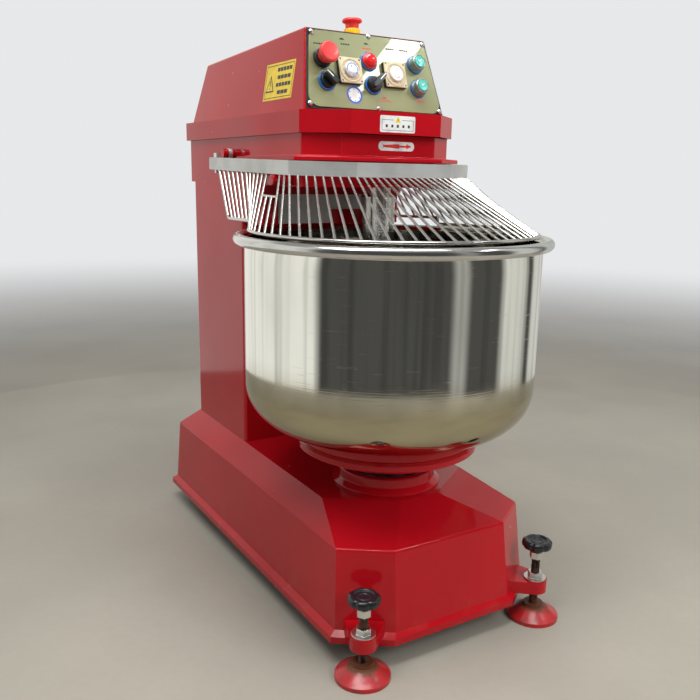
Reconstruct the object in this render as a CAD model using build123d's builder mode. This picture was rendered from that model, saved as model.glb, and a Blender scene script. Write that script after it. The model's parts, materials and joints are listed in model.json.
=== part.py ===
"""Spiral dough mixer: a free-standing bakery machine with a turning bowl and a spiral hook.

Millimetres, +Z up, the operator's side is -Y. The origin is on the floor, under the middle of
the machine's outline. The bowl's axis stands forward of the origin, at BOWL_Y.
"""
from build123d import *
from math import atan, cos, hypot, radians, sin, tan
import os

os.makedirs("parts", exist_ok=True)

# ---------------------------------------------------------------- driving dimensions
# Bowl and turntable
BOWL_Y = -178.0            # bowl axis
RIM_R = 294.3              # outside of the rolled rim
RIM_TUBE_R = 10.0
RIM_Z = 720.0              # top of the rim
WALL_R = 275.0             # outside of the bowl's straight wall
BOWL_SKIN = 2.5
BOWL_CORNER = (100.0, 90.0)  # elliptical corner, radial and vertical
BOWL_BOTTOM_Z = 354.0
TABLE_Z = 308.0            # underside of the turntable
TABLE_R = 174.0
SHAFT_R = 22.5             # bowl shaft
BOWL_PULLEY_Z = 122.0

# Casings
SHEET = 5.0                # cast and welded casings
PLINTH_Z = 40.0
ROOF_Z = 240.0
COLUMN_HALF = 162.5
COLUMN_FRONT = 142.0
COLUMN_REAR = 424.0
NECK_FRONT = 42.0          # upper column reaches forward over the bowl
NECK_Z = 725.0
HEAD_Z = 803.0
HEAD_TOP = 897.0
SKIRT_TOP = 936.5
HOOD_FRONT_Z = 1083.0
HOOD_REAR_Z = 1064.0
HOOD_SKIN = 3.0

# Control panel: measured up the hood's leaning front face
PANEL_FOOT = (-118.0, 936.5)
PANEL_HEAD = (-74.0, 1083.0)
PANEL_THICK = 2.0
GASKET_THICK = 2.0

# Spiral and breaker bar
SPIRAL_X, SPIRAL_Y = 62.0, -30.0
SPIRAL_SHAFT_R = 22.5
SPIRAL_BOSS_R = 35.0
SPIRAL_ROD_R = 15.0
SPIRAL_R = 87.0            # centre line of the spiral rod
SPIRAL_PULLEY_Z = 852.0
BREAKER_X, BREAKER_Y = -4.0, -140.0

# Guard
BAR_HALF = 196.0
BAR_REAR, BAR_TOP_REAR = 231.0, 856.6
BAR_FRONT, BAR_TOP_FRONT = -212.0, 846.7
BAR_FRONT_HALF = 101.0
BAR_CORNER_Y = -143.0
BAR_HEIGHT, BAR_THICK = 25.0, 6.0
RING_R, RING_Z = 265.4, 724.8
RING_WIRE_R, ROD_R = 3.5, 2.3
RING_END = 124.5           # degrees from the front, each side
RAIL_BEND_R = 14.0
RAIL_RISE, RAIL_RISE_BEND = 14.0, 6.0     # short step from the ring up to the side rail
RAIL_END = (203.0, 118.0, 735.0)
PIVOT_Y, PIVOT_Z, PIVOT_R = 175.0, 864.0, 6.0
REST_Y, REST_Z, REST_R, REST_LONG = -84.0, 814.0, 9.8, 41.0

# Levelling feet and wheels
FOOT_X, FOOT_Y = 193.4, -411.1
PAD_R = 48.0
SCREW_R = 8.0
LUG_LOW, LUG_TOP, LUG_R = 55.0, 79.0, 23.0
WHEEL_X, WHEEL_Y, WHEEL_R, WHEEL_HALF = 150.0, 372.0, 40.0, 16.0
AXLE_R = 6.0

RUN = 0.05                 # radial running clearance


# ---------------------------------------------------------------- helpers
def outline(half, front_half, front, rear, slope, grow=0.0):
    """Plan outline with two chamfered front corners, offset outwards by grow."""
    front_half = front_half + grow * tan(atan(slope) / 2)
    half, front, rear = half + grow, front - grow, rear + grow
    corner = front + (half - front_half) * slope
    right = [(front_half, front), (half, corner), (half, rear)]
    return right + [(-x, y) for x, y in reversed(right)]


def finish_part(builder, name):
    """Label a finished sub-part and write its STEP file."""
    builder.part.label = name
    export_step(builder.part, f"parts/{name}.step")


def upright(x, y):
    """Plane through a vertical axis at x, y: local X is the radius, local Y is the height."""
    return Plane(origin=(x, y, 0), x_dir=(1, 0, 0), z_dir=(0, -1, 0))


def axis_at(x, y):
    return Axis((x, y, 0), (0, 0, 1))


def between(start, end):
    """Plane at start whose normal points at end, and the distance between them."""
    start, end = Vector(*start), Vector(*end)
    return Plane(origin=start, z_dir=end - start), (end - start).length


def drum(x, y, low, high, radius, bore=0.0, mode=Mode.ADD):
    """Vertical disc on the current part, or a ring where it has a bore."""
    with BuildSketch(Plane(origin=(x, y, low))) as disc:
        Circle(radius)
        if bore:
            Circle(bore, mode=Mode.SUBTRACT)
    extrude(disc.sketch, amount=high - low, mode=mode)


def add_disc(plane, at, low, high, radius, taper=0.0, mode=Mode.ADD):
    """Disc on the current part, between two heights above a plane."""
    with BuildSketch(plane.offset(low)) as disc:
        with Locations(at):
            Circle(radius)
    extrude(disc.sketch, amount=high - low, taper=taper, mode=mode)


# ---------------------------------------------------------------- base
BASE_SLOPE = 0.69
BASE_LEVELS = [            # height, half width, half width of the front face, front, rear
    (PLINTH_Z, 224.5, 134.0, -418.0, 472.3),
    (PLINTH_Z + 12, 224.5, 134.0, -418.0, 472.3),
    (60.0, 213.2, 126.0, -410.5, 464.8),
    (202.0, 204.4, 121.4, -393.0, 459.2),
    (ROOF_Z, COLUMN_HALF, 41.0, -293.0, COLUMN_REAR),
]

with BuildPart() as base_housing:
    for low, high in zip(BASE_LEVELS, BASE_LEVELS[1:]):
        for level in (low, high):
            with BuildSketch(Plane.XY.offset(level[0])):
                Polygon(*outline(*level[1:], BASE_SLOPE), align=None)
        loft(ruled=True)
    fillet(base_housing.edges().filter_by_position(Axis.Z, 201, 203), radius=6)
    # Foot lugs stand out from the chamfered corners
    for side in (-1, 1):
        inward = Vector(-0.569 * side, 0.822, 0)
        along = Vector(0.822 * side, 0.569, 0)
        root = Vector(side * FOOT_X, FOOT_Y, 0) + inward * 48
        with BuildSketch(Plane.XY.offset(LUG_LOW)):
            with Locations((side * FOOT_X, FOOT_Y)):
                Circle(LUG_R)
            for edge in (-1, 1):
                corner = root + along * (36 * edge)
                with Locations((corner.X, corner.Y)):
                    Circle(2)
            make_hull()
        extrude(amount=LUG_TOP - LUG_LOW)
    # Hollow inside, open underneath
    for low, high in zip(BASE_LEVELS[1:], BASE_LEVELS[2:]):
        for level in (low, high):
            height = level[0] - (SHEET if level[0] == ROOF_Z else 0)
            with BuildSketch(Plane.XY.offset(height)):
                Polygon(*outline(*level[1:], BASE_SLOPE, grow=-SHEET - 0.5), align=None)
        loft(ruled=True, mode=Mode.SUBTRACT)
    with BuildSketch(Plane.XY.offset(PLINTH_Z)):
        Polygon(*outline(*BASE_LEVELS[0][1:], BASE_SLOPE, grow=-SHEET - 0.5), align=None)
    extrude(amount=12.01, mode=Mode.SUBTRACT)
    # Roof openings for the bowl bearing and for the column
    with BuildSketch(Plane.XY.offset(ROOF_Z - 20)):
        with Locations((0, BOWL_Y)):
            Circle(60)
        with Locations((0, (COLUMN_FRONT + COLUMN_REAR) / 2)):
            Rectangle(2 * COLUMN_HALF - 40, COLUMN_REAR - COLUMN_FRONT - 24)
    extrude(amount=40, mode=Mode.SUBTRACT)
    # Screw bores of the foot lugs
    with BuildSketch(Plane.XY.offset(LUG_LOW - 1)):
        with Locations((-FOOT_X, FOOT_Y), (FOOT_X, FOOT_Y)):
            Circle(SCREW_R + RUN)
    extrude(amount=LUG_TOP - LUG_LOW + 2, mode=Mode.SUBTRACT)
finish_part(base_housing, "base_housing")

CHASSIS_Z, CHASSIS_THICK = 92.0, 8.0
with BuildPart() as chassis_plate:
    with BuildSketch(Plane.XY.offset(CHASSIS_Z)):
        Polygon(*outline(203.0, 120.0, -398.0, 452.0, BASE_SLOPE), align=None)
    extrude(amount=CHASSIS_THICK)
finish_part(chassis_plate, "chassis_plate")

# ---------------------------------------------------------------- column
COLUMN_SKIN = 4.0
DOOR_W, DOOR_LOW, DOOR_HIGH = 230.0, 312.0, 740.0
DOOR_MIDDLE = (0, (DOOR_LOW + DOOR_HIGH) / 2)
COVER_LAP = 20.0           # the rear cover laps over its opening by this on each side
COVER_THICK = 2.0
COVER_SCREW_GRID = (DOOR_W + 22, (DOOR_HIGH - DOOR_LOW + 22) / 2, 2, 3)
GLAND_X, GLAND_Z, GLAND_R = -120.0, 268.0, 10.0
with BuildPart() as column_housing:
    for front, low in ((COLUMN_FRONT, ROOF_Z), (NECK_FRONT, NECK_Z)):
        with BuildSketch(Plane.XY.offset(low)):
            with Locations((0, (front + COLUMN_REAR) / 2)):
                Rectangle(2 * COLUMN_HALF, COLUMN_REAR - front)
        extrude(amount=HEAD_Z - low)
    fillet(column_housing.edges().filter_by(Axis.Z), radius=7)
    for front, low in ((COLUMN_FRONT, ROOF_Z), (NECK_FRONT, NECK_Z + COLUMN_SKIN)):
        with BuildSketch(Plane.XY.offset(low)):
            with Locations((0, (front + COLUMN_REAR) / 2)):
                Rectangle(2 * (COLUMN_HALF - COLUMN_SKIN), COLUMN_REAR - front - 2 * COLUMN_SKIN)
        extrude(amount=HEAD_Z - low, mode=Mode.SUBTRACT)
    # Service opening in the back, and the bore of the cable gland
    with BuildSketch(Plane.XZ.offset(-COLUMN_REAR - 1)):
        with Locations(DOOR_MIDDLE):
            RectangleRounded(DOOR_W, DOOR_HIGH - DOOR_LOW, 8)
        with Locations((GLAND_X, GLAND_Z)):
            Circle(GLAND_R)
    extrude(amount=2 * COLUMN_SKIN, mode=Mode.SUBTRACT)
finish_part(column_housing, "column_housing")

with BuildPart() as rear_cover:
    with BuildSketch(Plane.XZ.offset(-COLUMN_REAR)):
        with Locations(DOOR_MIDDLE):
            RectangleRounded(DOOR_W + 2 * COVER_LAP, DOOR_HIGH - DOOR_LOW + 2 * COVER_LAP, 10)
    extrude(amount=-COVER_THICK)
    # Two banks of cooling slots, and the screw holes
    with BuildSketch(Plane.XZ.offset(-COLUMN_REAR + 1)):
        with GridLocations(110, 18, 2, 7):
            with Locations((0, 400), (0, 640)):
                SlotOverall(80, 7)
        with Locations(DOOR_MIDDLE):
            with GridLocations(*COVER_SCREW_GRID):
                Circle(2.6)
    extrude(amount=-2 * COVER_THICK, mode=Mode.SUBTRACT)
finish_part(rear_cover, "rear_cover")

with BuildPart() as cable_gland:
    gland_plane = Plane(origin=(GLAND_X, COLUMN_REAR, GLAND_Z), x_dir=(1, 0, 0), z_dir=(0, 1, 0))
    with BuildSketch(gland_plane):
        RegularPolygon(14, 6)
    extrude(amount=8)
    add_disc(gland_plane, (0, 0), 8, 18, 11, taper=12)
    add_disc(gland_plane, (0, 0), -COLUMN_SKIN - 8, 0, GLAND_R - 0.1)
    add_disc(gland_plane, (0, 0), -COLUMN_SKIN - 9, 19, 5, mode=Mode.SUBTRACT)
finish_part(cable_gland, "cable_gland")

# ---------------------------------------------------------------- head
HEAD_SLOPE = 0.6387
HEAD = (COLUMN_HALF, 103.0, -160.0, 447.0, HEAD_SLOPE)
FLANGE = (182.5, 107.3, -180.0, 122.0, HEAD_SLOPE)
FLANGE_Z, FLANGE_THICK = 849.5, 8.0
SPIRAL_BORE = 46.0
with BuildPart() as head_housing:
    with BuildSketch(Plane.XY.offset(HEAD_Z)):
        Polygon(*outline(*HEAD), align=None)
    extrude(amount=HEAD_TOP - HEAD_Z)
    fillet(head_housing.edges().filter_by(Axis.Z), radius=6)
    with BuildSketch(Plane.XY.offset(FLANGE_Z)):
        Polygon(*outline(*FLANGE), align=None)
    extrude(amount=FLANGE_THICK)
    fillet(head_housing.edges().filter_by_position(Axis.Z, FLANGE_Z + FLANGE_THICK - 0.1,
                                                   FLANGE_Z + FLANGE_THICK + 0.1)
           .filter_by_position(Axis.Y, -181, -125), radius=3)
    with BuildSketch(Plane.XY.offset(HEAD_Z + SHEET)):
        Polygon(*outline(*HEAD, grow=-SHEET), align=None)
    extrude(amount=HEAD_TOP - HEAD_Z, mode=Mode.SUBTRACT)
    with BuildSketch(Plane.XY.offset(HEAD_Z - 1)):
        with Locations((SPIRAL_X, SPIRAL_Y)):
            Circle(SPIRAL_BORE)
        with Locations((0, 253)):
            Rectangle(290, 300)
    extrude(amount=SHEET + 2, mode=Mode.SUBTRACT)
finish_part(head_housing, "head_housing")

SKIRT = (169.0, 97.0, -185.0, 452.0, 0.819)
HOOD_FOOT = (154.4, -118.0, 449.0)       # half width, front, rear at the skirt
HOOD_HALF_FRONT, HOOD_HALF_REAR = 131.0, 134.0
HOOD_REAR = 398.0
LID_SLOPE = (HOOD_FRONT_Z - HOOD_REAR_Z) / (HOOD_REAR - PANEL_HEAD[0])


def hood_body(inset, mode):
    """Leaning-sided hood between the skirt and its sloping lid, inset all round."""
    foot_half, foot_front, foot_rear = HOOD_FOOT
    with BuildSketch(Plane.XY.offset(SKIRT_TOP)) as foot:
        Polygon((-foot_half + inset, foot_front + inset), (foot_half - inset, foot_front + inset),
                (foot_half - inset, foot_rear - inset), (-foot_half + inset, foot_rear - inset),
                align=None)
    lid = Plane(origin=(0, PANEL_HEAD[0], HOOD_FRONT_Z - inset), x_dir=(1, 0, 0),
                z_dir=(0, LID_SLOPE, 1))
    length = hypot(HOOD_REAR - PANEL_HEAD[0], HOOD_FRONT_Z - HOOD_REAR_Z)
    with BuildSketch(lid) as top:
        Polygon((-HOOD_HALF_FRONT + inset, inset), (HOOD_HALF_FRONT - inset, inset),
                (HOOD_HALF_REAR - inset, length - inset), (-HOOD_HALF_REAR + inset, length - inset),
                align=None)
    loft([foot.sketch, top.sketch], ruled=True, mode=mode)


panel_lean = atan((PANEL_HEAD[0] - PANEL_FOOT[0]) / (PANEL_HEAD[1] - PANEL_FOOT[1]))
PANEL = Plane(origin=(0, PANEL_FOOT[0], PANEL_FOOT[1]), x_dir=(1, 0, 0),
              z_dir=(0, -cos(panel_lean), sin(panel_lean)))
PANEL_FACE = PANEL.offset(GASKET_THICK + PANEL_THICK)

STOP_AT = (-107.0, 95.0)
SELECTOR_AT = (-103.0, 53.5)
LAMP_AT = (-8.0, 97.0)
LEVER_AT = (-5.0, 52.5)
START_AT = (97.5, 99.5)
HALT_AT = (97.5, 53.0)
TIMERS_AT = [(-54.0, 74.5), (44.0, 74.0)]
ROUND_AT = [STOP_AT, SELECTOR_AT, LAMP_AT, LEVER_AT, START_AT, HALT_AT]
PANEL_SCREWS_AT = [(-121.5, 143), (121.5, 143), (-143, 11), (143, 11), (0, 146), (2, 9)]
SWITCH_HOLE = 11.2
TIMER_HOLE = 45.0
TIMER_FACE = 48.0


def panel_cuts(screw_radius):
    """Holes of the round switches, the timers and the screws, on the current sketch."""
    with Locations(*ROUND_AT):
        Circle(SWITCH_HOLE)
    with Locations(*TIMERS_AT):
        Rectangle(TIMER_HOLE, TIMER_HOLE)
    with Locations(*PANEL_SCREWS_AT):
        Circle(screw_radius)


TOP_STOP_X, TOP_STOP_Y = 4.0, -14.0
TOP_STOP_Z = HOOD_FRONT_Z - (TOP_STOP_Y - PANEL_HEAD[0]) * LID_SLOPE
LID = Plane(origin=(TOP_STOP_X, TOP_STOP_Y, TOP_STOP_Z), x_dir=(1, 0, 0), z_dir=(0, LID_SLOPE, 1))

with BuildPart() as hood:
    with BuildSketch(Plane.XY.offset(HEAD_TOP)):
        Polygon(*outline(*SKIRT), align=None)
    extrude(amount=SKIRT_TOP - HEAD_TOP)
    hood_body(0.0, Mode.ADD)
    fillet(hood.edges().filter_by_position(Axis.Z, SKIRT_TOP + 1, HOOD_FRONT_Z + 1), radius=5)
    with BuildSketch(Plane.XY.offset(HEAD_TOP)):
        Polygon(*outline(*SKIRT, grow=-HOOD_SKIN), align=None)
    extrude(amount=SKIRT_TOP - HEAD_TOP - HOOD_SKIN, mode=Mode.SUBTRACT)
    with BuildSketch(Plane.XY.offset(SKIRT_TOP - HOOD_SKIN - 1)):
        with Locations((0, (HOOD_FOOT[1] + HOOD_FOOT[2]) / 2)):
            Rectangle(2 * (HOOD_FOOT[0] - HOOD_SKIN), HOOD_FOOT[2] - HOOD_FOOT[1] - 2 * HOOD_SKIN)
    extrude(amount=HOOD_SKIN + 1, mode=Mode.SUBTRACT)
    hood_body(HOOD_SKIN, Mode.SUBTRACT)
    with BuildSketch(PANEL.offset(-2 * HOOD_SKIN)):
        panel_cuts(2.05)
    extrude(amount=3 * HOOD_SKIN, mode=Mode.SUBTRACT)
    with BuildSketch(LID.offset(-2 * HOOD_SKIN)):
        Circle(SWITCH_HOLE)
    extrude(amount=3 * HOOD_SKIN, mode=Mode.SUBTRACT)
finish_part(hood, "hood")

# ---------------------------------------------------------------- control panel
with BuildPart() as panel_gasket:
    with BuildSketch(PANEL):
        Polygon((-151, 3), (151, 3), (129, 150.5), (-129, 150.5), align=None)
    extrude(amount=GASKET_THICK)
    with BuildSketch(PANEL):
        panel_cuts(2.2)
    extrude(amount=GASKET_THICK, mode=Mode.SUBTRACT)
finish_part(panel_gasket, "panel_gasket")

with BuildPart() as control_panel:
    with BuildSketch(PANEL.offset(GASKET_THICK)) as plate_outline:
        Polygon((-147.2, 6.5), (147.2, 6.5), (126, 147.5), (-126, 147.5), align=None)
        fillet(plate_outline.vertices(), radius=20)
    extrude(amount=PANEL_THICK)
    with BuildSketch(PANEL.offset(GASKET_THICK)):
        panel_cuts(2.3)
    extrude(amount=PANEL_THICK, mode=Mode.SUBTRACT)
finish_part(control_panel, "control_panel")

with BuildPart() as cover_screws:
    for at in PANEL_SCREWS_AT:
        add_disc(PANEL_FACE, at, 0, 1.2, 4.5)
        add_disc(PANEL_FACE, at, 1.2, 2.6, 4.5, taper=50)
        add_disc(PANEL_FACE, at, -12, 0, 2)
    for radius, length in ((5, -3), (2.5, COVER_THICK)):
        with BuildSketch(Plane.XZ.offset(-COLUMN_REAR - COVER_THICK)):
            with Locations(DOOR_MIDDLE):
                with GridLocations(*COVER_SCREW_GRID):
                    Circle(radius)
        extrude(amount=length)
finish_part(cover_screws, "cover_screws")

# Round switches: a collar on the plate's face with a threaded barrel through the panel
COLLAR_R, COLLAR_THICK = 17.5, 3.0
BARREL_R, BARREL_BORE = 11.0, 8.0
BARREL_LENGTH = 18.0
PLUNGER_R = BARREL_BORE - RUN


def add_switch_barrel(plane, at):
    """Collar and barrel of one switch, on the current part."""
    add_disc(plane, at, 0, COLLAR_THICK, COLLAR_R)
    add_disc(plane, at, -BARREL_LENGTH, 0, BARREL_R)
    add_disc(plane, at, -BARREL_LENGTH, COLLAR_THICK, BARREL_BORE, mode=Mode.SUBTRACT)


with BuildPart() as switch_collars:
    for at in ROUND_AT:
        add_switch_barrel(PANEL_FACE, at)
finish_part(switch_collars, "switch_collars")

BEZEL_R, BEZEL_BORE, BEZEL_TOP = 14.5, 11.0, 17.0
with BuildPart() as button_bezels:
    for at in (START_AT, HALT_AT):
        with BuildSketch(PANEL_FACE.offset(COLLAR_THICK)):
            with Locations(at):
                Circle(BEZEL_R)
                Circle(BEZEL_BORE, mode=Mode.SUBTRACT)
        extrude(amount=BEZEL_TOP - COLLAR_THICK)
finish_part(button_bezels, "button_bezels")

BUTTON_TRAVEL = 3.0
for name, at in (("start_button", START_AT), ("halt_button", HALT_AT)):
    with BuildPart() as button:
        add_disc(PANEL_FACE, at, -BARREL_LENGTH - 2, 8, PLUNGER_R)
        add_disc(PANEL_FACE, at, 8, BEZEL_TOP + 2.5, BEZEL_BORE - RUN)
    finish_part(button, name)

STOP_HEAD_LOW, STOP_HEAD_WIDE, STOP_HEAD_TOP, STOP_HEAD_R = 18.0, 27.0, 34.0, 19.0
STOP_TRAVEL = 5.0
KNOB_SKIRT_R = 14.5
with BuildPart() as panel_stop_button:
    add_disc(PANEL_FACE, STOP_AT, -BARREL_LENGTH - 2, STOP_HEAD_LOW, PLUNGER_R)
    add_disc(PANEL_FACE, STOP_AT, 12, STOP_HEAD_LOW, KNOB_SKIRT_R)
    for height, radius in ((STOP_HEAD_LOW, STOP_HEAD_R - 3), (STOP_HEAD_WIDE, STOP_HEAD_R)):
        with BuildSketch(PANEL_FACE.offset(height)):
            with Locations(STOP_AT):
                Circle(radius)
    loft()
    add_disc(PANEL_FACE, STOP_AT, STOP_HEAD_WIDE, STOP_HEAD_TOP, STOP_HEAD_R)
    fillet(panel_stop_button.edges().group_by(Axis(PANEL_FACE.origin, PANEL_FACE.z_dir))[-1],
           radius=4)
finish_part(panel_stop_button, "panel_stop_button")

with BuildPart() as power_lamp:
    add_disc(PANEL_FACE, LAMP_AT, -BARREL_LENGTH, COLLAR_THICK, BARREL_BORE - 0.1)
    add_disc(PANEL_FACE, LAMP_AT, COLLAR_THICK, 8, 14)
    add_disc(PANEL_FACE, LAMP_AT, 8, 19, 12.5)
    fillet(power_lamp.edges().group_by(Axis(PANEL_FACE.origin, PANEL_FACE.z_dir))[-1], radius=5)
finish_part(power_lamp, "power_lamp")


def turned(plane, at, degrees):
    """The plane moved to a switch's centre and turned about its normal."""
    x_dir = plane.x_dir * cos(radians(degrees)) + plane.y_dir * sin(radians(degrees))
    return Plane(origin=plane.from_local_coords(Vector(*at, 0)), x_dir=x_dir, z_dir=plane.z_dir)


GRIP_LOW, GRIP_TOP = 11.0, 25.0
KNOB_GAP = 0.3             # between a turning knob and its collar
with BuildPart() as selector_knob:
    add_disc(PANEL_FACE, SELECTOR_AT, -BARREL_LENGTH - 2, GRIP_LOW, PLUNGER_R)
    add_disc(PANEL_FACE, SELECTOR_AT, COLLAR_THICK + KNOB_GAP, GRIP_LOW, KNOB_SKIRT_R)
    grip = turned(PANEL_FACE, SELECTOR_AT, 45)
    with BuildSketch(grip.offset(GRIP_LOW)):
        RectangleRounded(13, 29, 3)
    extrude(amount=GRIP_TOP - GRIP_LOW, taper=6)
finish_part(selector_knob, "selector_knob")

with BuildPart() as lever_switch:
    add_disc(PANEL_FACE, LEVER_AT, -BARREL_LENGTH - 2, GRIP_LOW, PLUNGER_R)
    add_disc(PANEL_FACE, LEVER_AT, COLLAR_THICK + KNOB_GAP, GRIP_LOW, KNOB_SKIRT_R)
    grip = turned(PANEL_FACE, LEVER_AT, -48)
    with BuildSketch(grip.offset(GRIP_LOW)):
        with Locations((0, 8)):
            SlotOverall(44, 11, rotation=90)
    extrude(amount=GRIP_TOP - 4 - GRIP_LOW, taper=6)
finish_part(lever_switch, "lever_switch")

# Timers: a square case through the panel with a dial on its face
TIMER_PROUD, TIMER_DEEP = 10.0, 46.0
RECESS_R, RECESS = 19.0, 2.0             # the round recess in a timer's face
DIAL_R, SPINDLE_R = 13.5, 3.0
with BuildPart() as timer_cases:
    for at in TIMERS_AT:
        with BuildSketch(PANEL_FACE.offset(-TIMER_DEEP)):
            with Locations(at):
                Rectangle(TIMER_HOLE - 0.2, TIMER_HOLE - 0.2)
        extrude(amount=TIMER_DEEP)
        with BuildSketch(PANEL_FACE):
            with Locations(at):
                RectangleRounded(TIMER_FACE, TIMER_FACE, 2)
        extrude(amount=TIMER_PROUD)
        add_disc(PANEL_FACE, at, TIMER_PROUD - RECESS, TIMER_PROUD, RECESS_R, mode=Mode.SUBTRACT)
        add_disc(PANEL_FACE, at, 0, TIMER_PROUD - RECESS, SPINDLE_R + RUN, mode=Mode.SUBTRACT)
finish_part(timer_cases, "timer_cases")

for name, at in zip(("left_timer_dial", "right_timer_dial"), TIMERS_AT):
    with BuildPart() as dial:
        dial_low = TIMER_PROUD - RECESS + RUN
        add_disc(PANEL_FACE, at, 1, dial_low, SPINDLE_R)
        add_disc(PANEL_FACE, at, dial_low, TIMER_PROUD + 5, DIAL_R, taper=8)
        fillet(dial.edges().group_by(Axis(PANEL_FACE.origin, PANEL_FACE.z_dir))[-1], radius=1)
    finish_part(dial, name)

# Contact blocks clip on behind each round switch
with BuildPart() as contact_blocks:
    for at in ROUND_AT:
        with BuildSketch(PANEL_FACE.offset(-BARREL_LENGTH - 42)):
            with Locations(at):
                Rectangle(28, 34)
        extrude(amount=34)
finish_part(contact_blocks, "contact_blocks")

# Stop button on the lid
TOP_COLLAR_HIGH = 19.0
with BuildPart() as top_stop_base:
    add_disc(LID, (0, 0), 0, TOP_COLLAR_HIGH, 15)
    add_disc(LID, (0, 0), -BARREL_LENGTH, 0, BARREL_R)
    add_disc(LID, (0, 0), -BARREL_LENGTH, TOP_COLLAR_HIGH, BARREL_BORE, mode=Mode.SUBTRACT)
finish_part(top_stop_base, "top_stop_base")

TOP_STOP_R, TOP_STOP_WIDE, TOP_STOP_HIGH = 19.5, 32.0, 38.5
with BuildPart() as top_stop_button:
    add_disc(LID, (0, 0), -BARREL_LENGTH - 2, TOP_COLLAR_HIGH + STOP_TRAVEL, PLUNGER_R)
    for height, radius in ((TOP_COLLAR_HIGH + STOP_TRAVEL, 14.0), (TOP_STOP_WIDE - 4, 15.0),
                           (TOP_STOP_WIDE, TOP_STOP_R)):
        with BuildSketch(LID.offset(height)):
            Circle(radius)
    loft(ruled=True)
    add_disc(LID, (0, 0), TOP_STOP_WIDE, TOP_STOP_HIGH, TOP_STOP_R)
    fillet(top_stop_button.edges().group_by(Axis(LID.origin, LID.z_dir))[-1], radius=3)
finish_part(top_stop_button, "top_stop_button")

# ---------------------------------------------------------------- under the head
SPLASH_W, SPLASH_THICK = 256.0, 2.0
SPLASH_LOW, SPLASH_TOP = NECK_Z + 2, 785.0
with BuildPart() as splash_plate:
    with BuildSketch(Plane.XZ.offset(-NECK_FRONT)):
        with Locations((0, (SPLASH_LOW + SPLASH_TOP) / 2)):
            Rectangle(SPLASH_W, SPLASH_TOP - SPLASH_LOW)
        with Locations((33, NECK_Z + 16)):
            Rectangle(88, 28.5, mode=Mode.SUBTRACT)
    extrude(amount=SPLASH_THICK)
finish_part(splash_plate, "splash_plate")

BREAKER_LOW, BREAKER_TIP_R, BREAKER_R = 372.0, 14.0, 17.0
BREAKER_FLANGE_R, BREAKER_FLANGE = 19.0, 10.0
with BuildPart() as breaker_bar:
    with BuildSketch(upright(BREAKER_X, BREAKER_Y)):
        Polygon((0, BREAKER_LOW), (BREAKER_TIP_R - 3, BREAKER_LOW), (BREAKER_TIP_R, BREAKER_LOW + 4),
                (BREAKER_R, 700), (BREAKER_R, HEAD_Z - BREAKER_FLANGE),
                (BREAKER_FLANGE_R, HEAD_Z - BREAKER_FLANGE), (BREAKER_FLANGE_R, HEAD_Z), (0, HEAD_Z),
                align=None)
    revolve(axis=axis_at(BREAKER_X, BREAKER_Y))
finish_part(breaker_bar, "breaker_bar")

# ---------------------------------------------------------------- spiral and its drive
BEARING_HIGH = 19.0
SPIRAL_BEARING_R, BOWL_BEARING_R = 40.0, 42.5
SPIRAL_HOUSING_TOP = 846.0
SPIRAL_HOUSING_LOW = 791.0
with BuildPart() as spiral_bearing_housing:
    drum(SPIRAL_X, SPIRAL_Y, HEAD_Z + SHEET, HEAD_Z + SHEET + 8, 58)
    drum(SPIRAL_X, SPIRAL_Y, SPIRAL_HOUSING_LOW, SPIRAL_HOUSING_TOP, SPIRAL_BORE - 0.1)
    for low, radius in ((SPIRAL_HOUSING_LOW, SPIRAL_SHAFT_R + 1),
                        (SPIRAL_HOUSING_LOW + 5, SPIRAL_BEARING_R)):
        drum(SPIRAL_X, SPIRAL_Y, low, SPIRAL_HOUSING_TOP, radius, mode=Mode.SUBTRACT)
finish_part(spiral_bearing_housing, "spiral_bearing_housing")

PULLEY_HIGH, GROOVE_HIGH, GROOVE_DEEP = 30.0, 18.0, 10.0


def pulley(x, y, z, radius, bore):
    """Belt pulley with one groove, a web and a hub, on the current part."""
    with BuildSketch(upright(x, y)) as section:
        Polygon((bore, z), (radius, z), (radius, z + 6), (radius - GROOVE_DEEP, z + 6),
                (radius - GROOVE_DEEP, z + 6 + GROOVE_HIGH), (radius, z + 6 + GROOVE_HIGH),
                (radius, z + PULLEY_HIGH), (bore, z + PULLEY_HIGH), align=None)
    revolve(section.sketch, axis=axis_at(x, y))
    hub, rim = bore + 12, radius - GROOVE_DEEP - 10
    if rim > hub + 10:
        for low in (z, z + PULLEY_HIGH - 9):
            drum(x, y, low, low + 9, rim, hub, mode=Mode.SUBTRACT)


def belt(start, end, z):
    """Flat loop round two pulleys, each given as x, y and radius, clear of both grooves."""
    for clear, mode in ((2.0, Mode.ADD), (GROOVE_DEEP - 0.5, Mode.SUBTRACT)):
        with BuildSketch(Plane.XY.offset(z + 7)) as loop:
            for x, y, radius in (start, end):
                with Locations((x, y)):
                    Circle(radius - clear)
            make_hull()
        extrude(loop.sketch, amount=GROOVE_HIGH - 2, mode=mode)


SPIRAL_PULLEY_R, MAIN_PULLEY_R = 90.0, 36.0
MAIN_X, MAIN_Y = 0.0, 296.0
MAIN_SHAFT_R = 14.0
with BuildPart() as spiral_pulley:
    pulley(SPIRAL_X, SPIRAL_Y, SPIRAL_PULLEY_Z, SPIRAL_PULLEY_R, SPIRAL_SHAFT_R)
finish_part(spiral_pulley, "spiral_pulley")

with BuildPart() as spiral_belt:
    belt((SPIRAL_X, SPIRAL_Y, SPIRAL_PULLEY_R), (MAIN_X, MAIN_Y, MAIN_PULLEY_R), SPIRAL_PULLEY_Z)
finish_part(spiral_belt, "spiral_belt")

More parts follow.
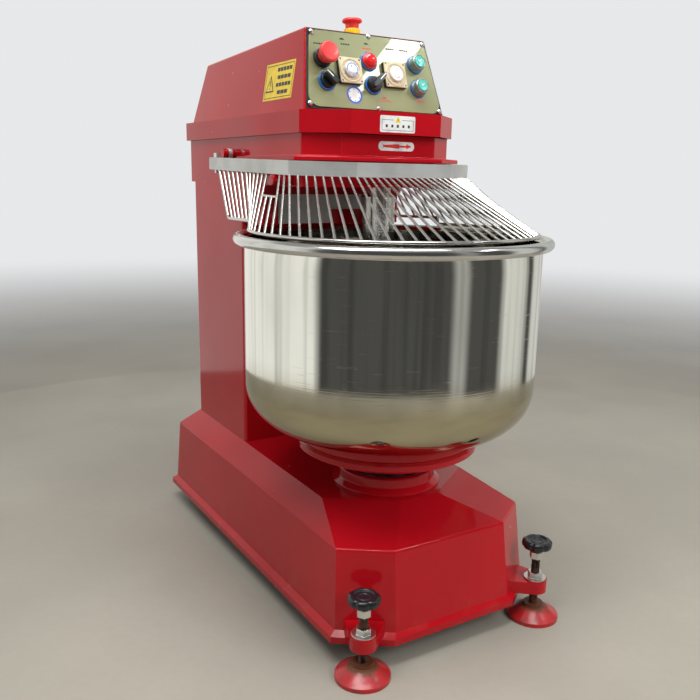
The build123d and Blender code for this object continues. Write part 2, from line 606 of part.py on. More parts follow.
SPIRAL_BOSS_TOP, SPIRAL_BOSS_LOW = 786.0, 700.0
SPIRAL_SHAFT_LOW = SPIRAL_BOSS_LOW + 20
with BuildPart() as spiral_shaft:
    drum(SPIRAL_X, SPIRAL_Y, SPIRAL_SHAFT_LOW, SPIRAL_PULLEY_Z + PULLEY_HIGH + 5, SPIRAL_SHAFT_R)
finish_part(spiral_shaft, "spiral_shaft")

# The spiral: out from the boss, down in a helix, then curling in to the axis at the bottom.
# Its radius shrinks towards the bottom, so it clears the bowl's rounded corner.
SPIRAL_STEP = 40


def spiral_point(radius, degrees, z):
    return (SPIRAL_X + radius * cos(radians(degrees)), SPIRAL_Y + radius * sin(radians(degrees)), z)


helix = [spiral_point(SPIRAL_R, angle, 640 - (angle - 60) * 0.5)
         for angle in range(60, 60 + 10 * SPIRAL_STEP + 1, SPIRAL_STEP)]
curl = [spiral_point(76, 500, 422), spiral_point(58, 540, 404), spiral_point(34, 580, 392)]
neck = [spiral_point(0, 0, SPIRAL_BOSS_LOW + 10), spiral_point(0, 0, 662), spiral_point(62, 25, 652)]
spiral_points = neck + helix + curl


def bend_radii(points, share=0.45):
    """Radius of each inner corner, as large as a share of its shorter run allows."""
    runs = [Vector(*b) - Vector(*a) for a, b in zip(points, points[1:])]
    return [share * min(a.length, b.length) / tan(radians(a.get_angle(b)) / 2)
            for a, b in zip(runs, runs[1:])]


with BuildPart() as spiral_hook:
    with BuildLine() as spiral_path:
        FilletPolyline(*spiral_points, radius=bend_radii(spiral_points))
    with BuildSketch(Plane(origin=spiral_path.line @ 0, z_dir=spiral_path.line % 0)):
        Circle(SPIRAL_ROD_R)
    sweep(path=spiral_path.wires()[0])
    tip = spiral_hook.faces().sort_by_distance(spiral_path.line @ 1)[0]
    fillet(tip.edges(), radius=SPIRAL_ROD_R - 2)
    drum(SPIRAL_X, SPIRAL_Y, SPIRAL_BOSS_LOW, SPIRAL_BOSS_TOP, SPIRAL_BOSS_R)
    fillet(spiral_hook.edges().filter_by(GeomType.CIRCLE)
           .filter_by_position(Axis.Z, SPIRAL_BOSS_TOP - 1, SPIRAL_BOSS_TOP + 1), radius=4)
    drum(SPIRAL_X, SPIRAL_Y, SPIRAL_SHAFT_LOW, SPIRAL_BOSS_TOP + 1, SPIRAL_SHAFT_R, mode=Mode.SUBTRACT)
finish_part(spiral_hook, "spiral_hook")

# Motors stand inside the column; each has a finned body, a foot flange and a fan cowl
MOTOR_PLATE = 8.0


def motor(x, y, flange_z, length, radius, shaft_r, way):
    """Vertical motor on the current part: its body runs up (way 1) or down (-1) from a flange."""
    body = flange_z + way * MOTOR_PLATE
    cowl = body + way * length
    drum(x, y, min(flange_z, body), max(flange_z, body), radius + 14)
    with BuildSketch(Plane(origin=(x, y, min(body, cowl)))) as finned:
        Circle(radius - 8)
        with PolarLocations(radius - 6, 20):
            Rectangle(12, 4)
    extrude(finned.sketch, amount=length)
    drum(x, y, min(cowl, cowl + way * 42), max(cowl, cowl + way * 42), radius)
    drum(x, y, min(flange_z, cowl), max(flange_z, cowl), shaft_r + 1, mode=Mode.SUBTRACT)


with BuildPart() as main_motor:
    motor(MAIN_X, MAIN_Y, SPIRAL_PULLEY_Z - 10, 200.0, 92.0, MAIN_SHAFT_R, -1)
finish_part(main_motor, "main_motor")


def motor_pulley(x, y, z, radius, shaft_r, shaft_low, shaft_high):
    pulley(x, y, z, radius, 0.0)
    drum(x, y, shaft_low, shaft_high, shaft_r)


with BuildPart() as main_motor_pulley:
    motor_pulley(MAIN_X, MAIN_Y, SPIRAL_PULLEY_Z, MAIN_PULLEY_R, MAIN_SHAFT_R,
                 SPIRAL_PULLEY_Z - 190, SPIRAL_PULLEY_Z)
finish_part(main_motor_pulley, "main_motor_pulley")

# ---------------------------------------------------------------- bowl drive
BOWL_HOUSING_LOW, BOWL_HOUSING_TOP = 176.0, 262.0
with BuildPart() as bowl_bearing_housing:
    drum(0, BOWL_Y, ROOF_Z, ROOF_Z + 9, 78)
    drum(0, BOWL_Y, BOWL_HOUSING_LOW, BOWL_HOUSING_TOP, 58)
    for low, radius in ((BOWL_HOUSING_LOW, SHAFT_R + 4), (BOWL_HOUSING_LOW + 5, BOWL_BEARING_R)):
        drum(0, BOWL_Y, low, BOWL_HOUSING_TOP + 1, radius, mode=Mode.SUBTRACT)
finish_part(bowl_bearing_housing, "bowl_bearing_housing")

# Two ball bearings carry each vertical shaft
with BuildPart() as shaft_bearings:
    for z in (SPIRAL_HOUSING_LOW + 5, SPIRAL_HOUSING_TOP - BEARING_HIGH):
        drum(SPIRAL_X, SPIRAL_Y, z, z + BEARING_HIGH, SPIRAL_BEARING_R, SPIRAL_SHAFT_R + RUN)
    for z in (BOWL_HOUSING_LOW + 5, BOWL_HOUSING_TOP - BEARING_HIGH - 4):
        drum(0, BOWL_Y, z, z + BEARING_HIGH, BOWL_BEARING_R, SHAFT_R + RUN)
finish_part(shaft_bearings, "shaft_bearings")

COLLAR_FOOT_R, COLLAR_HEAD_R, COLLAR_BORE = 106.0, 95.0, 82.0
with BuildPart() as pedestal_collar:
    with BuildSketch(upright(0, BOWL_Y)):
        Polygon((COLLAR_BORE, ROOF_Z), (COLLAR_FOOT_R, ROOF_Z), (COLLAR_FOOT_R, ROOF_Z + 4),
                (COLLAR_HEAD_R + 1, ROOF_Z + 13), (COLLAR_HEAD_R, ROOF_Z + 32),
                (COLLAR_BORE, ROOF_Z + 32), align=None)
    revolve(axis=axis_at(0, BOWL_Y))
    fillet(pedestal_collar.edges().group_by(Axis.Z)[-1], radius=4)
finish_part(pedestal_collar, "pedestal_collar")

with BuildPart() as bowl_shaft:
    drum(0, BOWL_Y, BOWL_PULLEY_Z - 4, TABLE_Z, SHAFT_R)
finish_part(bowl_shaft, "bowl_shaft")

BOWL_PULLEY_R, BOWL_DRIVE_R = 104.0, 36.0
DRIVE_X, DRIVE_Y = -50.0, 240.0
DRIVE_SHAFT_R = 12.0
with BuildPart() as bowl_pulley:
    pulley(0, BOWL_Y, BOWL_PULLEY_Z, BOWL_PULLEY_R, SHAFT_R)
finish_part(bowl_pulley, "bowl_pulley")

with BuildPart() as bowl_belt:
    belt((0, BOWL_Y, BOWL_PULLEY_R), (DRIVE_X, DRIVE_Y, BOWL_DRIVE_R), BOWL_PULLEY_Z)
finish_part(bowl_belt, "bowl_belt")

with BuildPart() as bowl_motor:
    motor(DRIVE_X, DRIVE_Y, BOWL_PULLEY_Z + PULLEY_HIGH + 10, 150.0, 74.0, DRIVE_SHAFT_R, 1)
finish_part(bowl_motor, "bowl_motor")

with BuildPart() as bowl_motor_pulley:
    motor_pulley(DRIVE_X, DRIVE_Y, BOWL_PULLEY_Z, BOWL_DRIVE_R, DRIVE_SHAFT_R,
                 BOWL_PULLEY_Z + PULLEY_HIGH, BOWL_PULLEY_Z + PULLEY_HIGH + 140)
finish_part(bowl_motor_pulley, "bowl_motor_pulley")

TABLE_TOP = 331.0
with BuildPart() as turntable:
    with BuildSketch(upright(0, BOWL_Y)):
        Polygon((0, TABLE_Z), (0, TABLE_TOP), (TABLE_R - 5, TABLE_TOP), (TABLE_R, TABLE_TOP - 5),
                (TABLE_R, TABLE_Z + 8), (TABLE_R - 14, TABLE_Z), (112, TABLE_Z), (112, TABLE_Z + 6),
                (62, TABLE_Z + 6), (62, TABLE_Z - 30), (SHAFT_R, TABLE_Z - 30), (SHAFT_R, TABLE_Z),
                align=None)
    revolve(axis=axis_at(0, BOWL_Y))
finish_part(turntable, "turntable")

SEAT_R, SEAT_BORE = 169.0, 110.0
with BuildPart() as bowl_seat_ring:
    with BuildSketch(upright(0, BOWL_Y)):
        Polygon((SEAT_BORE, TABLE_TOP), (SEAT_R, TABLE_TOP), (SEAT_R + 2, TABLE_TOP + 4),
                (SEAT_R + 2, BOWL_BOTTOM_Z - 4), (SEAT_R - 2, BOWL_BOTTOM_Z),
                (SEAT_BORE, BOWL_BOTTOM_Z), align=None)
    revolve(axis=axis_at(0, BOWL_Y))
finish_part(bowl_seat_ring, "bowl_seat_ring")

corner_r, corner_h = BOWL_CORNER
corner_z = BOWL_BOTTOM_Z + corner_h
bead_r, bead_low = RIM_R - RIM_TUBE_R, RIM_Z - 2 * RIM_TUBE_R
lip_z = RIM_Z - 6
with BuildPart() as bowl:
    with BuildSketch(upright(0, BOWL_Y)):
        with BuildLine():
            Line((0, BOWL_BOTTOM_Z), (WALL_R - corner_r, BOWL_BOTTOM_Z))
            EllipticalCenterArc((WALL_R - corner_r, corner_z), corner_r, corner_h, 270, arc_size=90)
            Polyline((WALL_R, corner_z), (WALL_R, bead_low + 4), (bead_r, bead_low + 1),
                     (bead_r, lip_z), (WALL_R - BOWL_SKIN, lip_z), (WALL_R - BOWL_SKIN, corner_z))
            EllipticalCenterArc((WALL_R - corner_r, corner_z), corner_r - BOWL_SKIN,
                                corner_h - BOWL_SKIN, 270, arc_size=90)
            Polyline((WALL_R - corner_r, BOWL_BOTTOM_Z + BOWL_SKIN), (0, BOWL_BOTTOM_Z + BOWL_SKIN),
                     (0, BOWL_BOTTOM_Z))
        make_face()
    revolve(axis=axis_at(0, BOWL_Y))
    with BuildSketch(upright(0, BOWL_Y)):
        with Locations((bead_r, RIM_Z - RIM_TUBE_R)):
            Circle(RIM_TUBE_R)
    revolve(axis=axis_at(0, BOWL_Y))
finish_part(bowl, "bowl")

# ---------------------------------------------------------------- guard
bar_fall = atan((BAR_TOP_REAR - BAR_TOP_FRONT) / (BAR_REAR - BAR_FRONT))
BAR_PLANE = Plane(origin=(0, BAR_REAR, BAR_TOP_REAR), x_dir=(1, 0, 0),
                  z_dir=(0, -sin(bar_fall), cos(bar_fall)))
bar_slope = (BAR_CORNER_Y - BAR_FRONT) / (BAR_HALF - BAR_FRONT_HALF)


def bar_outline(grow):
    """Plan of the guard bar's centre line, offset sideways by grow, on the bar's own plane."""
    points = outline(BAR_HALF, BAR_FRONT_HALF, BAR_FRONT, BAR_REAR, bar_slope, grow)
    return [(x, (min(y, BAR_REAR) - BAR_REAR) / cos(bar_fall)) for x, y in points]


with BuildPart() as guard_bar:
    with BuildSketch(BAR_PLANE.offset(-BAR_HEIGHT)):
        Polygon(*bar_outline(BAR_THICK / 2), align=None)
        Polygon(*bar_outline(-BAR_THICK / 2), align=None, mode=Mode.SUBTRACT)
        Rectangle(2 * BAR_HALF - BAR_THICK, 2 * BAR_THICK, mode=Mode.SUBTRACT)
    extrude(amount=BAR_HEIGHT)
    fillet(guard_bar.edges().filter_by_position(Axis.Y, BAR_REAR - 3, BAR_REAR + 3)
           .filter_by(Axis.X), radius=5)
finish_part(guard_bar, "guard_bar")


def bar_point(distance):
    """Point on the bar's lower edge, at a distance along its right half from the front centre."""
    chamfer = hypot(BAR_HALF - BAR_FRONT_HALF, BAR_CORNER_Y - BAR_FRONT)
    if distance <= BAR_FRONT_HALF:
        x, y = distance, BAR_FRONT
    elif distance <= BAR_FRONT_HALF + chamfer:
        part = (distance - BAR_FRONT_HALF) / chamfer
        x = BAR_FRONT_HALF + part * (BAR_HALF - BAR_FRONT_HALF)
        y = BAR_FRONT + part * (BAR_CORNER_Y - BAR_FRONT)
    else:
        x, y = BAR_HALF, BAR_CORNER_Y + distance - BAR_FRONT_HALF - chamfer
    fall = (BAR_REAR - y) * tan(bar_fall)
    return (x, y, BAR_TOP_REAR - fall - BAR_HEIGHT)


def ring_point(degrees):
    """Point on the guard's lower ring, at an angle from the front towards the right."""
    return (RING_R * sin(radians(degrees)), BOWL_Y - RING_R * cos(radians(degrees)), RING_Z)


def part_way(start, end, share):
    return tuple(a + (b - a) * share for a, b in zip(start, end))


# Rods of the right half: distance along the bar, and angle round the ring
FRONT_PITCH, CHAMFER_PITCH, SIDE_PITCH, WING_PITCH = 13.47, 14.68, 18.5, 22.9
SIDE_START = 218.4
WING_START = SIDE_START + 10 * SIDE_PITCH
rods = [((k + 0.5) * FRONT_PITCH, (k + 0.5) * 4.6) for k in range(8)]
rods += [(BAR_FRONT_HALF + k * CHAMFER_PITCH, 34.5 + 4.75 * k) for k in range(1, 9)]
side_rods = [(SIDE_START + k * SIDE_PITCH, 72.5 + 5.2 * k) for k in range(1, 11)]
REST_ROD, REST_CUT = 2, 0.385            # the gap over the rest pin: two rods stop short there
rod_lines = [(bar_point(along), ring_point(angle)) for along, angle in rods]
for index, (along, angle) in enumerate(side_rods):
    top, foot = bar_point(along), ring_point(angle)
    if index in (REST_ROD, REST_ROD + 1):
        top = part_way(top, foot, REST_CUT)
    rod_lines.append((top, foot))
rest_bridge = [part_way(bar_point(side_rods[k][0]), ring_point(side_rods[k][1]), REST_CUT)
               for k in (REST_ROD - 1, REST_ROD + 2)]
rod_lines.append(tuple(rest_bridge))
ring_end = ring_point(RING_END)
rail_start = (ring_end[0], ring_end[1], ring_end[2] + RAIL_RISE)
for k in range(1, 6):
    rod_lines.append((bar_point(WING_START + k * WING_PITCH), part_way(rail_start, RAIL_END, k / 6)))


def mirrored(point, side):
    return (point[0] * side, point[1], point[2])


with BuildPart() as guard_rods:
    for side in (-1, 1):
        for top, foot in rod_lines:
            plane, length = between(mirrored(top, side), mirrored(foot, side))
            with BuildSketch(plane):
                Circle(ROD_R)
            extrude(amount=length)
finish_part(guard_rods, "guard_rods")

# The ring's wire steps up at each end, runs on as a side rail and turns up to the bar
wing_top = bar_point(WING_START + 6 * WING_PITCH)
with BuildPart() as guard_ring:
    with BuildSketch(Plane(origin=ring_point(-RING_END), x_dir=(0, 0, 1),
                           z_dir=(cos(radians(RING_END)), -sin(radians(RING_END)), 0))):
        Circle(RING_WIRE_R)
    revolve(axis=axis_at(0, BOWL_Y), revolution_arc=2 * RING_END)
    for side in (-1, 1):
        corners = [mirrored(point, side) for point in (ring_end, rail_start, RAIL_END, wing_top)]
        with BuildLine() as rail:
            FilletPolyline(*corners, radius=[RAIL_RISE_BEND, RAIL_BEND_R])
        with BuildSketch(Plane(origin=rail.line @ 0, z_dir=rail.line % 0)):
            Circle(RING_WIRE_R - 0.1)
        sweep(path=rail.wires()[0])
finish_part(guard_ring, "guard_ring")

# Hinge lugs: a plate round each pivot pin, with a block bolted behind the bar's rear end
LUG_PLATE_IN, LUG_PLATE_OUT = 172.0, 180.0
LUG_BLOCK_Z, LUG_BLOCK_HIGH = 843.0, 16.0
with BuildPart() as guard_hinge_lugs:
    for side in (-1, 1):
        with BuildSketch(Plane.YZ.offset(side * LUG_PLATE_IN)):
            with Locations((PIVOT_Y, PIVOT_Z)):
                Circle(10.5)
            with Locations((PIVOT_Y + 14, LUG_BLOCK_Z)):
                Rectangle(28, LUG_BLOCK_HIGH)
            make_hull()
        extrude(amount=side * (LUG_PLATE_OUT - LUG_PLATE_IN))
        with BuildSketch(Plane.YZ.offset(side * LUG_PLATE_OUT)):
            with Locations((PIVOT_Y + 28, LUG_BLOCK_Z)):
                Rectangle(50, LUG_BLOCK_HIGH)
        extrude(amount=side * (BAR_HALF - BAR_THICK / 2 - LUG_PLATE_OUT))
    with BuildSketch(Plane.YZ.offset(-BAR_HALF)):
        with Locations((PIVOT_Y, PIVOT_Z)):
            Circle(PIVOT_R + RUN)
    extrude(amount=2 * BAR_HALF, mode=Mode.SUBTRACT)
finish_part(guard_hinge_lugs, "guard_hinge_lugs")

LUG_BOLT_X, LUG_BOLT_Y = 186.0, PIVOT_Y + 44
lug_block_top, lug_block_low = LUG_BLOCK_Z + LUG_BLOCK_HIGH / 2, LUG_BLOCK_Z - LUG_BLOCK_HIGH / 2
with BuildPart() as guard_lug_bolts:
    for side in (-1, 1):
        bolt_x = side * LUG_BOLT_X
        drum(bolt_x, LUG_BOLT_Y, lug_block_top, lug_block_top + 2.5, 6.8)
        with BuildSketch(Plane(origin=(bolt_x, LUG_BOLT_Y, lug_block_top + 2.5))):
            RegularPolygon(6.3, 6, major_radius=False)
        extrude(amount=12)
        drum(bolt_x, LUG_BOLT_Y, lug_block_low - 11, lug_block_low, 5)
finish_part(guard_lug_bolts, "guard_lug_bolts")

# Pins welded to the head's sides: the guard turns on the rear pair and rests on the front pair
PIN_STEPS = [(COLUMN_HALF, LUG_PLATE_IN - 0.5, 9.0), (LUG_PLATE_IN - 1, LUG_PLATE_OUT + 2, PIVOT_R),
             (LUG_PLATE_OUT + 0.5, LUG_PLATE_OUT + 12, 9.5)]
with BuildPart() as guard_pins:
    for side in (-1, 1):
        for low, high, radius in PIN_STEPS:
            with BuildSketch(Plane.YZ.offset(side * low)):
                with Locations((PIVOT_Y, PIVOT_Z)):
                    Circle(radius)
            extrude(amount=side * (high - low))
        with BuildSketch(Plane.YZ.offset(side * COLUMN_HALF)):
            with Locations((REST_Y, REST_Z)):
                Circle(REST_R)
        extrude(amount=side * REST_LONG)
    pin_ends = guard_pins.edges().group_by(Axis.X)
    fillet(pin_ends[0] + pin_ends[-1], radius=3)
finish_part(guard_pins, "guard_pins")

# ---------------------------------------------------------------- levelling feet
WASHER_R, WASHER_THICK = 21.0, 3.0
NUT_AF, NUT_HIGH = 24.0, 10.5
PAD_SOCKET = 12.0
HUB_LOW, HUB_HIGH, HUB_AF = 114.0, 14.0, 22.0
SIDES = {"left": (-1, 0.0), "right": (1, 7.0)}       # side, and how much higher the knob stands

with BuildPart() as foot_lock_nuts:
    for side in (-1, 1):
        drum(side * FOOT_X, FOOT_Y, LUG_TOP, LUG_TOP + WASHER_THICK, WASHER_R, SCREW_R + RUN)
        with BuildSketch(Plane(origin=(side * FOOT_X, FOOT_Y, LUG_TOP + WASHER_THICK))):
            RegularPolygon(NUT_AF / 2, 6, major_radius=False)
            Circle(SCREW_R + RUN, mode=Mode.SUBTRACT)
        extrude(amount=NUT_HIGH)
finish_part(foot_lock_nuts, "foot_lock_nuts")

for name, (side, lift) in SIDES.items():
    x, y = side * FOOT_X, FOOT_Y
    with BuildPart() as pad:
        with BuildSketch(upright(x, y)):
            Polygon((0, 0), (PAD_R, 0), (PAD_R, 7), (PAD_R - 8, 11.5), (24, 22), (18, 24), (18, 29),
                    (0, 29), align=None)
        revolve(axis=axis_at(x, y))
        fillet(pad.edges().filter_by_position(Axis.Z, 6.5, 7.5), radius=2)
        with BuildSketch(Plane(origin=(x, y, PAD_SOCKET))):
            Circle(SCREW_R + RUN)
        extrude(amount=20, mode=Mode.SUBTRACT)
    finish_part(pad, f"{name}_foot_pad")

    hub_low, hub_high = HUB_LOW + lift, HUB_LOW + HUB_HIGH + lift
    with BuildPart() as screw:
        drum(x, y, PAD_SOCKET + RUN, hub_high + 6, SCREW_R)
        with BuildSketch(Plane(origin=(x, y, hub_low))):
            RegularPolygon(HUB_AF / 2, 6, major_radius=False)
        extrude(amount=HUB_HIGH)
    finish_part(screw, f"{name}_foot_screw")

    with BuildPart() as knob:
        with BuildSketch(Plane(origin=(x, y, hub_high))):
            Circle(16)
        with BuildSketch(Plane(origin=(x, y, hub_high + 6))):
            Circle(25)
        loft()
        with BuildSketch(Plane(origin=(x, y, hub_high + 6))):
            Circle(26.5)
            with PolarLocations(24.2, 7):
                Circle(5)
        extrude(amount=17)
        fillet(knob.edges().group_by(Axis.Z)[-1], radius=4)
        with BuildSketch(Plane(origin=(x, y, hub_high + 21))):
            Circle(17)
        extrude(amount=3, mode=Mode.SUBTRACT)
        with BuildSketch(Plane(origin=(x, y, hub_high))):
            Circle(SCREW_R)
        extrude(amount=6, mode=Mode.SUBTRACT)
    finish_part(knob, f"{name}_foot_knob")

# ---------------------------------------------------------------- rear wheels
with BuildPart() as rear_wheel_forks:
    for side in (-1, 1):
        with BuildSketch(Plane(origin=(side * WHEEL_X, WHEEL_Y, CHASSIS_Z - 4))):
            RectangleRounded(70, 80, 4)
        extrude(amount=4)
        for cheek in (-1, 1):
            cheek_x = side * WHEEL_X + cheek * (WHEEL_HALF + 2)
            with BuildSketch(Plane.YZ.offset(cheek_x)):
                with Locations((WHEEL_Y, WHEEL_R)):
                    Circle(13)
                with Locations((WHEEL_Y, CHASSIS_Z - 6)):
                    Rectangle(56, 4)
                make_hull()
            extrude(amount=cheek * 4)
        with BuildSketch(Plane.YZ.offset(side * WHEEL_X - WHEEL_HALF - 12)):
            with Locations((WHEEL_Y, WHEEL_R)):
                Circle(AXLE_R)
        extrude(amount=2 * (WHEEL_HALF + 12))
finish_part(rear_wheel_forks, "rear_wheel_forks")

for name, side in (("left", -1), ("right", 1)):
    with BuildPart() as wheel:
        with BuildSketch(Plane.YZ.offset(side * WHEEL_X - WHEEL_HALF)):
            with Locations((WHEEL_Y, WHEEL_R)):
                Circle(WHEEL_R)
                Circle(AXLE_R + RUN, mode=Mode.SUBTRACT)
        extrude(amount=2 * WHEEL_HALF)
        fillet(wheel.edges().filter_by(GeomType.CIRCLE)
               .filter_by(lambda edge: edge.radius > WHEEL_R - 1), radius=3)
    finish_part(wheel, f"{name}_rear_wheel")
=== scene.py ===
"""Looks of the spiral dough mixer: materials, fine pieces, floor, light and camera.

Metres, +Z up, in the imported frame's own axes: the operator's side is -Y, the floor is z = 0.
"""
import json
from math import cos, hypot, pi, radians, sin

import bmesh
import bpy
from mathutils import Matrix, Vector


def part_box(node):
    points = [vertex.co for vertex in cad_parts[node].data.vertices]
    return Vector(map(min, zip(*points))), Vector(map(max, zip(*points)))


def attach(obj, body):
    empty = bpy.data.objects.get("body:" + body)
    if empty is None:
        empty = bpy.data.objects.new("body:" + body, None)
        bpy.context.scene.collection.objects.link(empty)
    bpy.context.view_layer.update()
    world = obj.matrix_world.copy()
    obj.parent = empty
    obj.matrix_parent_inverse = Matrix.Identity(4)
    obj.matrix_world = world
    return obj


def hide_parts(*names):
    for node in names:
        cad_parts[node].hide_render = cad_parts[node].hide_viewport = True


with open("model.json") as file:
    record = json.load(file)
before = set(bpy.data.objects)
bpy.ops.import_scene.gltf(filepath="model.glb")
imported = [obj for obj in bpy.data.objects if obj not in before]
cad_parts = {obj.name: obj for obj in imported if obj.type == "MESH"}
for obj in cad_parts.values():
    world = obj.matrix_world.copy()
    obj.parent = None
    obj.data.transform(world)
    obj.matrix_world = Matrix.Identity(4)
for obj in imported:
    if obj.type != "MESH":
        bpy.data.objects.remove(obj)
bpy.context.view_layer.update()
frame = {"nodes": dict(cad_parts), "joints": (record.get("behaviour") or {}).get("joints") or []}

MM = 0.001
SHARP = radians(32)        # a steeper fold than this shows as an edge
scene = bpy.context.scene


# ---------------------------------------------------------------- node helpers
def node(tree, kind, inputs=None, **settings):
    """Shader node with its settings, and its inputs set to values or linked to sockets."""
    made = tree.nodes.new(kind)
    for key, value in settings.items():
        setattr(made, key, value)
    for key, value in (inputs or {}).items():
        if isinstance(value, bpy.types.NodeSocket):
            tree.links.new(value, made.inputs[key])
        else:
            made.inputs[key].default_value = value
    return made


def math_node(tree, operation, first, second=0.0):
    """Result of one arithmetic node."""
    return node(tree, "ShaderNodeMath", {0: first, 1: second}, operation=operation).outputs[0]


def noise(tree, vector, scale, detail=2.0, stretch=(1, 1, 1)):
    """Noise factor over a vector, stretched along its axes."""
    mapped = node(tree, "ShaderNodeMapping", {"Vector": vector, "Scale": stretch}).outputs[0]
    return node(tree, "ShaderNodeTexNoise", {"Vector": mapped, "Scale": scale,
                                             "Detail": detail}).outputs["Fac"]


def steps(tree, factor, low, high):
    """Smooth 0 to 1 as factor goes from low to high."""
    return node(tree, "ShaderNodeMapRange", {"Value": factor, "From Min": low, "From Max": high},
                interpolation_type="SMOOTHSTEP").outputs["Result"]


def mix(tree, factor, first, second):
    """Colour mix, where each colour is three numbers or a socket."""
    made = tree.nodes.new("ShaderNodeMix")
    made.data_type = "RGBA"
    for socket, value in ((made.inputs[0], factor), (made.inputs[6], first), (made.inputs[7], second)):
        if isinstance(value, bpy.types.NodeSocket):
            tree.links.new(value, socket)
        elif isinstance(value, (tuple, list)):
            socket.default_value = (*value, 1.0)
        else:
            socket.default_value = value
    return made.outputs[2]


def bump(tree, height, strength, distance, normal=None):
    """Normal raised by a height, on top of another normal where one is given."""
    inputs = {"Height": height, "Strength": strength, "Distance": distance}
    if normal is not None:
        inputs["Normal"] = normal
    return node(tree, "ShaderNodeBump", inputs).outputs["Normal"]


def shader(name, **inputs):
    """New material: its tree, its Principled node and the object's own coordinates."""
    made = bpy.data.materials.new(name)
    made.use_nodes = True
    tree = made.node_tree
    surface = tree.nodes["Principled BSDF"]
    for key, value in inputs.items():
        surface.inputs[key.replace("_", " ")].default_value = value
    place = node(tree, "ShaderNodeTexCoord").outputs["Object"]
    return made, tree, surface, place


def connect(tree, surface, **sockets):
    """Links each socket to the shader's input of the same name."""
    for key, value in sockets.items():
        tree.links.new(value, surface.inputs[key.replace("_", " ")])


# ---------------------------------------------------------------- materials
def enamel_material():
    """Thick glossy red enamel: orange peel, wavy sheet, small chips and dust low down."""
    made, tree, surface, place = shader("red_enamel", Coat_Weight=0.10, Coat_Roughness=0.04,
                                        Specular_IOR_Level=0.25)
    tone = steps(tree, noise(tree, place, 2.6, 3), 0.35, 0.7)
    red = mix(tree, tone, (0.40, 0.0045, 0.010), (0.48, 0.006, 0.013))
    height = node(tree, "ShaderNodeSeparateXYZ", {0: place}).outputs["Z"]
    low = math_node(tree, "SUBTRACT", 1.0, steps(tree, height, 0.03, 0.13))
    dust = math_node(tree, "MULTIPLY", steps(tree, noise(tree, place, 22, 5), 0.5, 0.75), low)
    red = mix(tree, math_node(tree, "MULTIPLY", dust, 0.22), red, (0.22, 0.10, 0.07))
    chip_zone = steps(tree, noise(tree, place, 5, 1), 0.56, 0.62)
    chips = steps(tree, noise(tree, place, 95, 2), 0.755, 0.77)
    chips = math_node(tree, "MULTIPLY", chips, chip_zone)
    red = mix(tree, chips, red, (0.50, 0.36, 0.32))
    rough = math_node(tree, "ADD", math_node(tree, "MULTIPLY", noise(tree, place, 14, 4), 0.09), 0.05)
    rough = math_node(tree, "ADD", math_node(tree, "MULTIPLY", dust, 0.3), rough)
    wave = bump(tree, noise(tree, place, 7, 1), 0.10, 0.004)
    peel = bump(tree, noise(tree, place, 230, 2), 0.10, 0.0006, wave)
    pit = bump(tree, math_node(tree, "SUBTRACT", 1.0, chips), 0.5, 0.0004, peel)
    connect(tree, surface, Base_Color=red, Roughness=rough, Normal=pit, Coat_Normal=wave)
    return made


def polished_steel_material(name, tint, rough, scratch):
    """Polished stainless sheet: faint waves and fine scratches, mostly round the axis, and low down an
    olive tint that is a painted floor reflection.
    """
    made, tree, surface, place = shader(name, Metallic=1.0)
    parts = node(tree, "ShaderNodeSeparateXYZ", {0: place})
    rings = noise(tree, place, 60, 3, (0.12, 0.12, 9))
    smear = noise(tree, place, 9, 3, (1, 1, 0.25))
    marks = steps(tree, noise(tree, place, 30, 5, (0.5, 0.5, 22)), 0.66, 0.70)
    dull = steps(tree, smear, 0.42, 0.7)
    colour = mix(tree, dull, tint, tuple(c * 0.86 for c in tint))
    # painted reflection: below about z 0.5 the steel is blended towards olive (0.40, 0.36, 0.22),
    # standing in for a reflected brownish floor rather than any colour of the steel itself
    foot = steps(tree, parts.outputs["Z"], 0.52, 0.43)
    colour = mix(tree, math_node(tree, "MULTIPLY", foot, 0.9), colour, (0.40, 0.36, 0.22))
    value = math_node(tree, "ADD", math_node(tree, "MULTIPLY", dull, 0.08), rough)
    value = math_node(tree, "ADD", value, math_node(tree, "MULTIPLY", marks, 0.18))
    wave = bump(tree, noise(tree, place, 11, 1, (1, 1, 0.35)), 0.12, 0.002)
    fine = bump(tree, rings, scratch, 0.0002, wave)
    connect(tree, surface, Base_Color=colour, Roughness=value, Normal=fine)
    return made


def brushed_material(name, tint, rough, stretch, grain=0.25, metal=1.0):
    """Brushed metal, with its grain drawn out along one axis."""
    made, tree, surface, place = shader(name, Metallic=metal)
    lines = noise(tree, place, 260, 4, stretch)
    stain = steps(tree, noise(tree, place, 13, 4), 0.4, 0.72)
    colour = mix(tree, stain, tint, tuple(c * 0.78 for c in tint))
    colour = mix(tree, math_node(tree, "MULTIPLY", lines, 0.35), colour, tuple(c * 0.6 for c in tint))
    value = math_node(tree, "ADD", math_node(tree, "MULTIPLY", lines, 0.2), rough)
    normal = bump(tree, lines, grain, 0.0002)
    connect(tree, surface, Base_Color=colour, Roughness=value, Normal=normal)
    return made


def moulded_material(name, colour, rough, grain=0.15, size=500, second=None, coat=0.0):
    """Moulded plastic or rubber: a fine grain, a little wear, and two close tones."""
    made, tree, surface, place = shader(name, Coat_Weight=coat, Coat_Roughness=0.08)
    second = second or tuple(c * 0.72 for c in colour)
    tone = steps(tree, noise(tree, place, 38, 4), 0.4, 0.7)
    worn = steps(tree, noise(tree, place, 160, 4), 0.6, 0.75)
    paint = mix(tree, tone, colour, second)
    value = math_node(tree, "ADD", math_node(tree, "MULTIPLY", worn, 0.16), rough)
    connect(tree, surface, Base_Color=paint, Roughness=value,
            Normal=bump(tree, noise(tree, place, size, 3), grain, 0.0002))
    return made


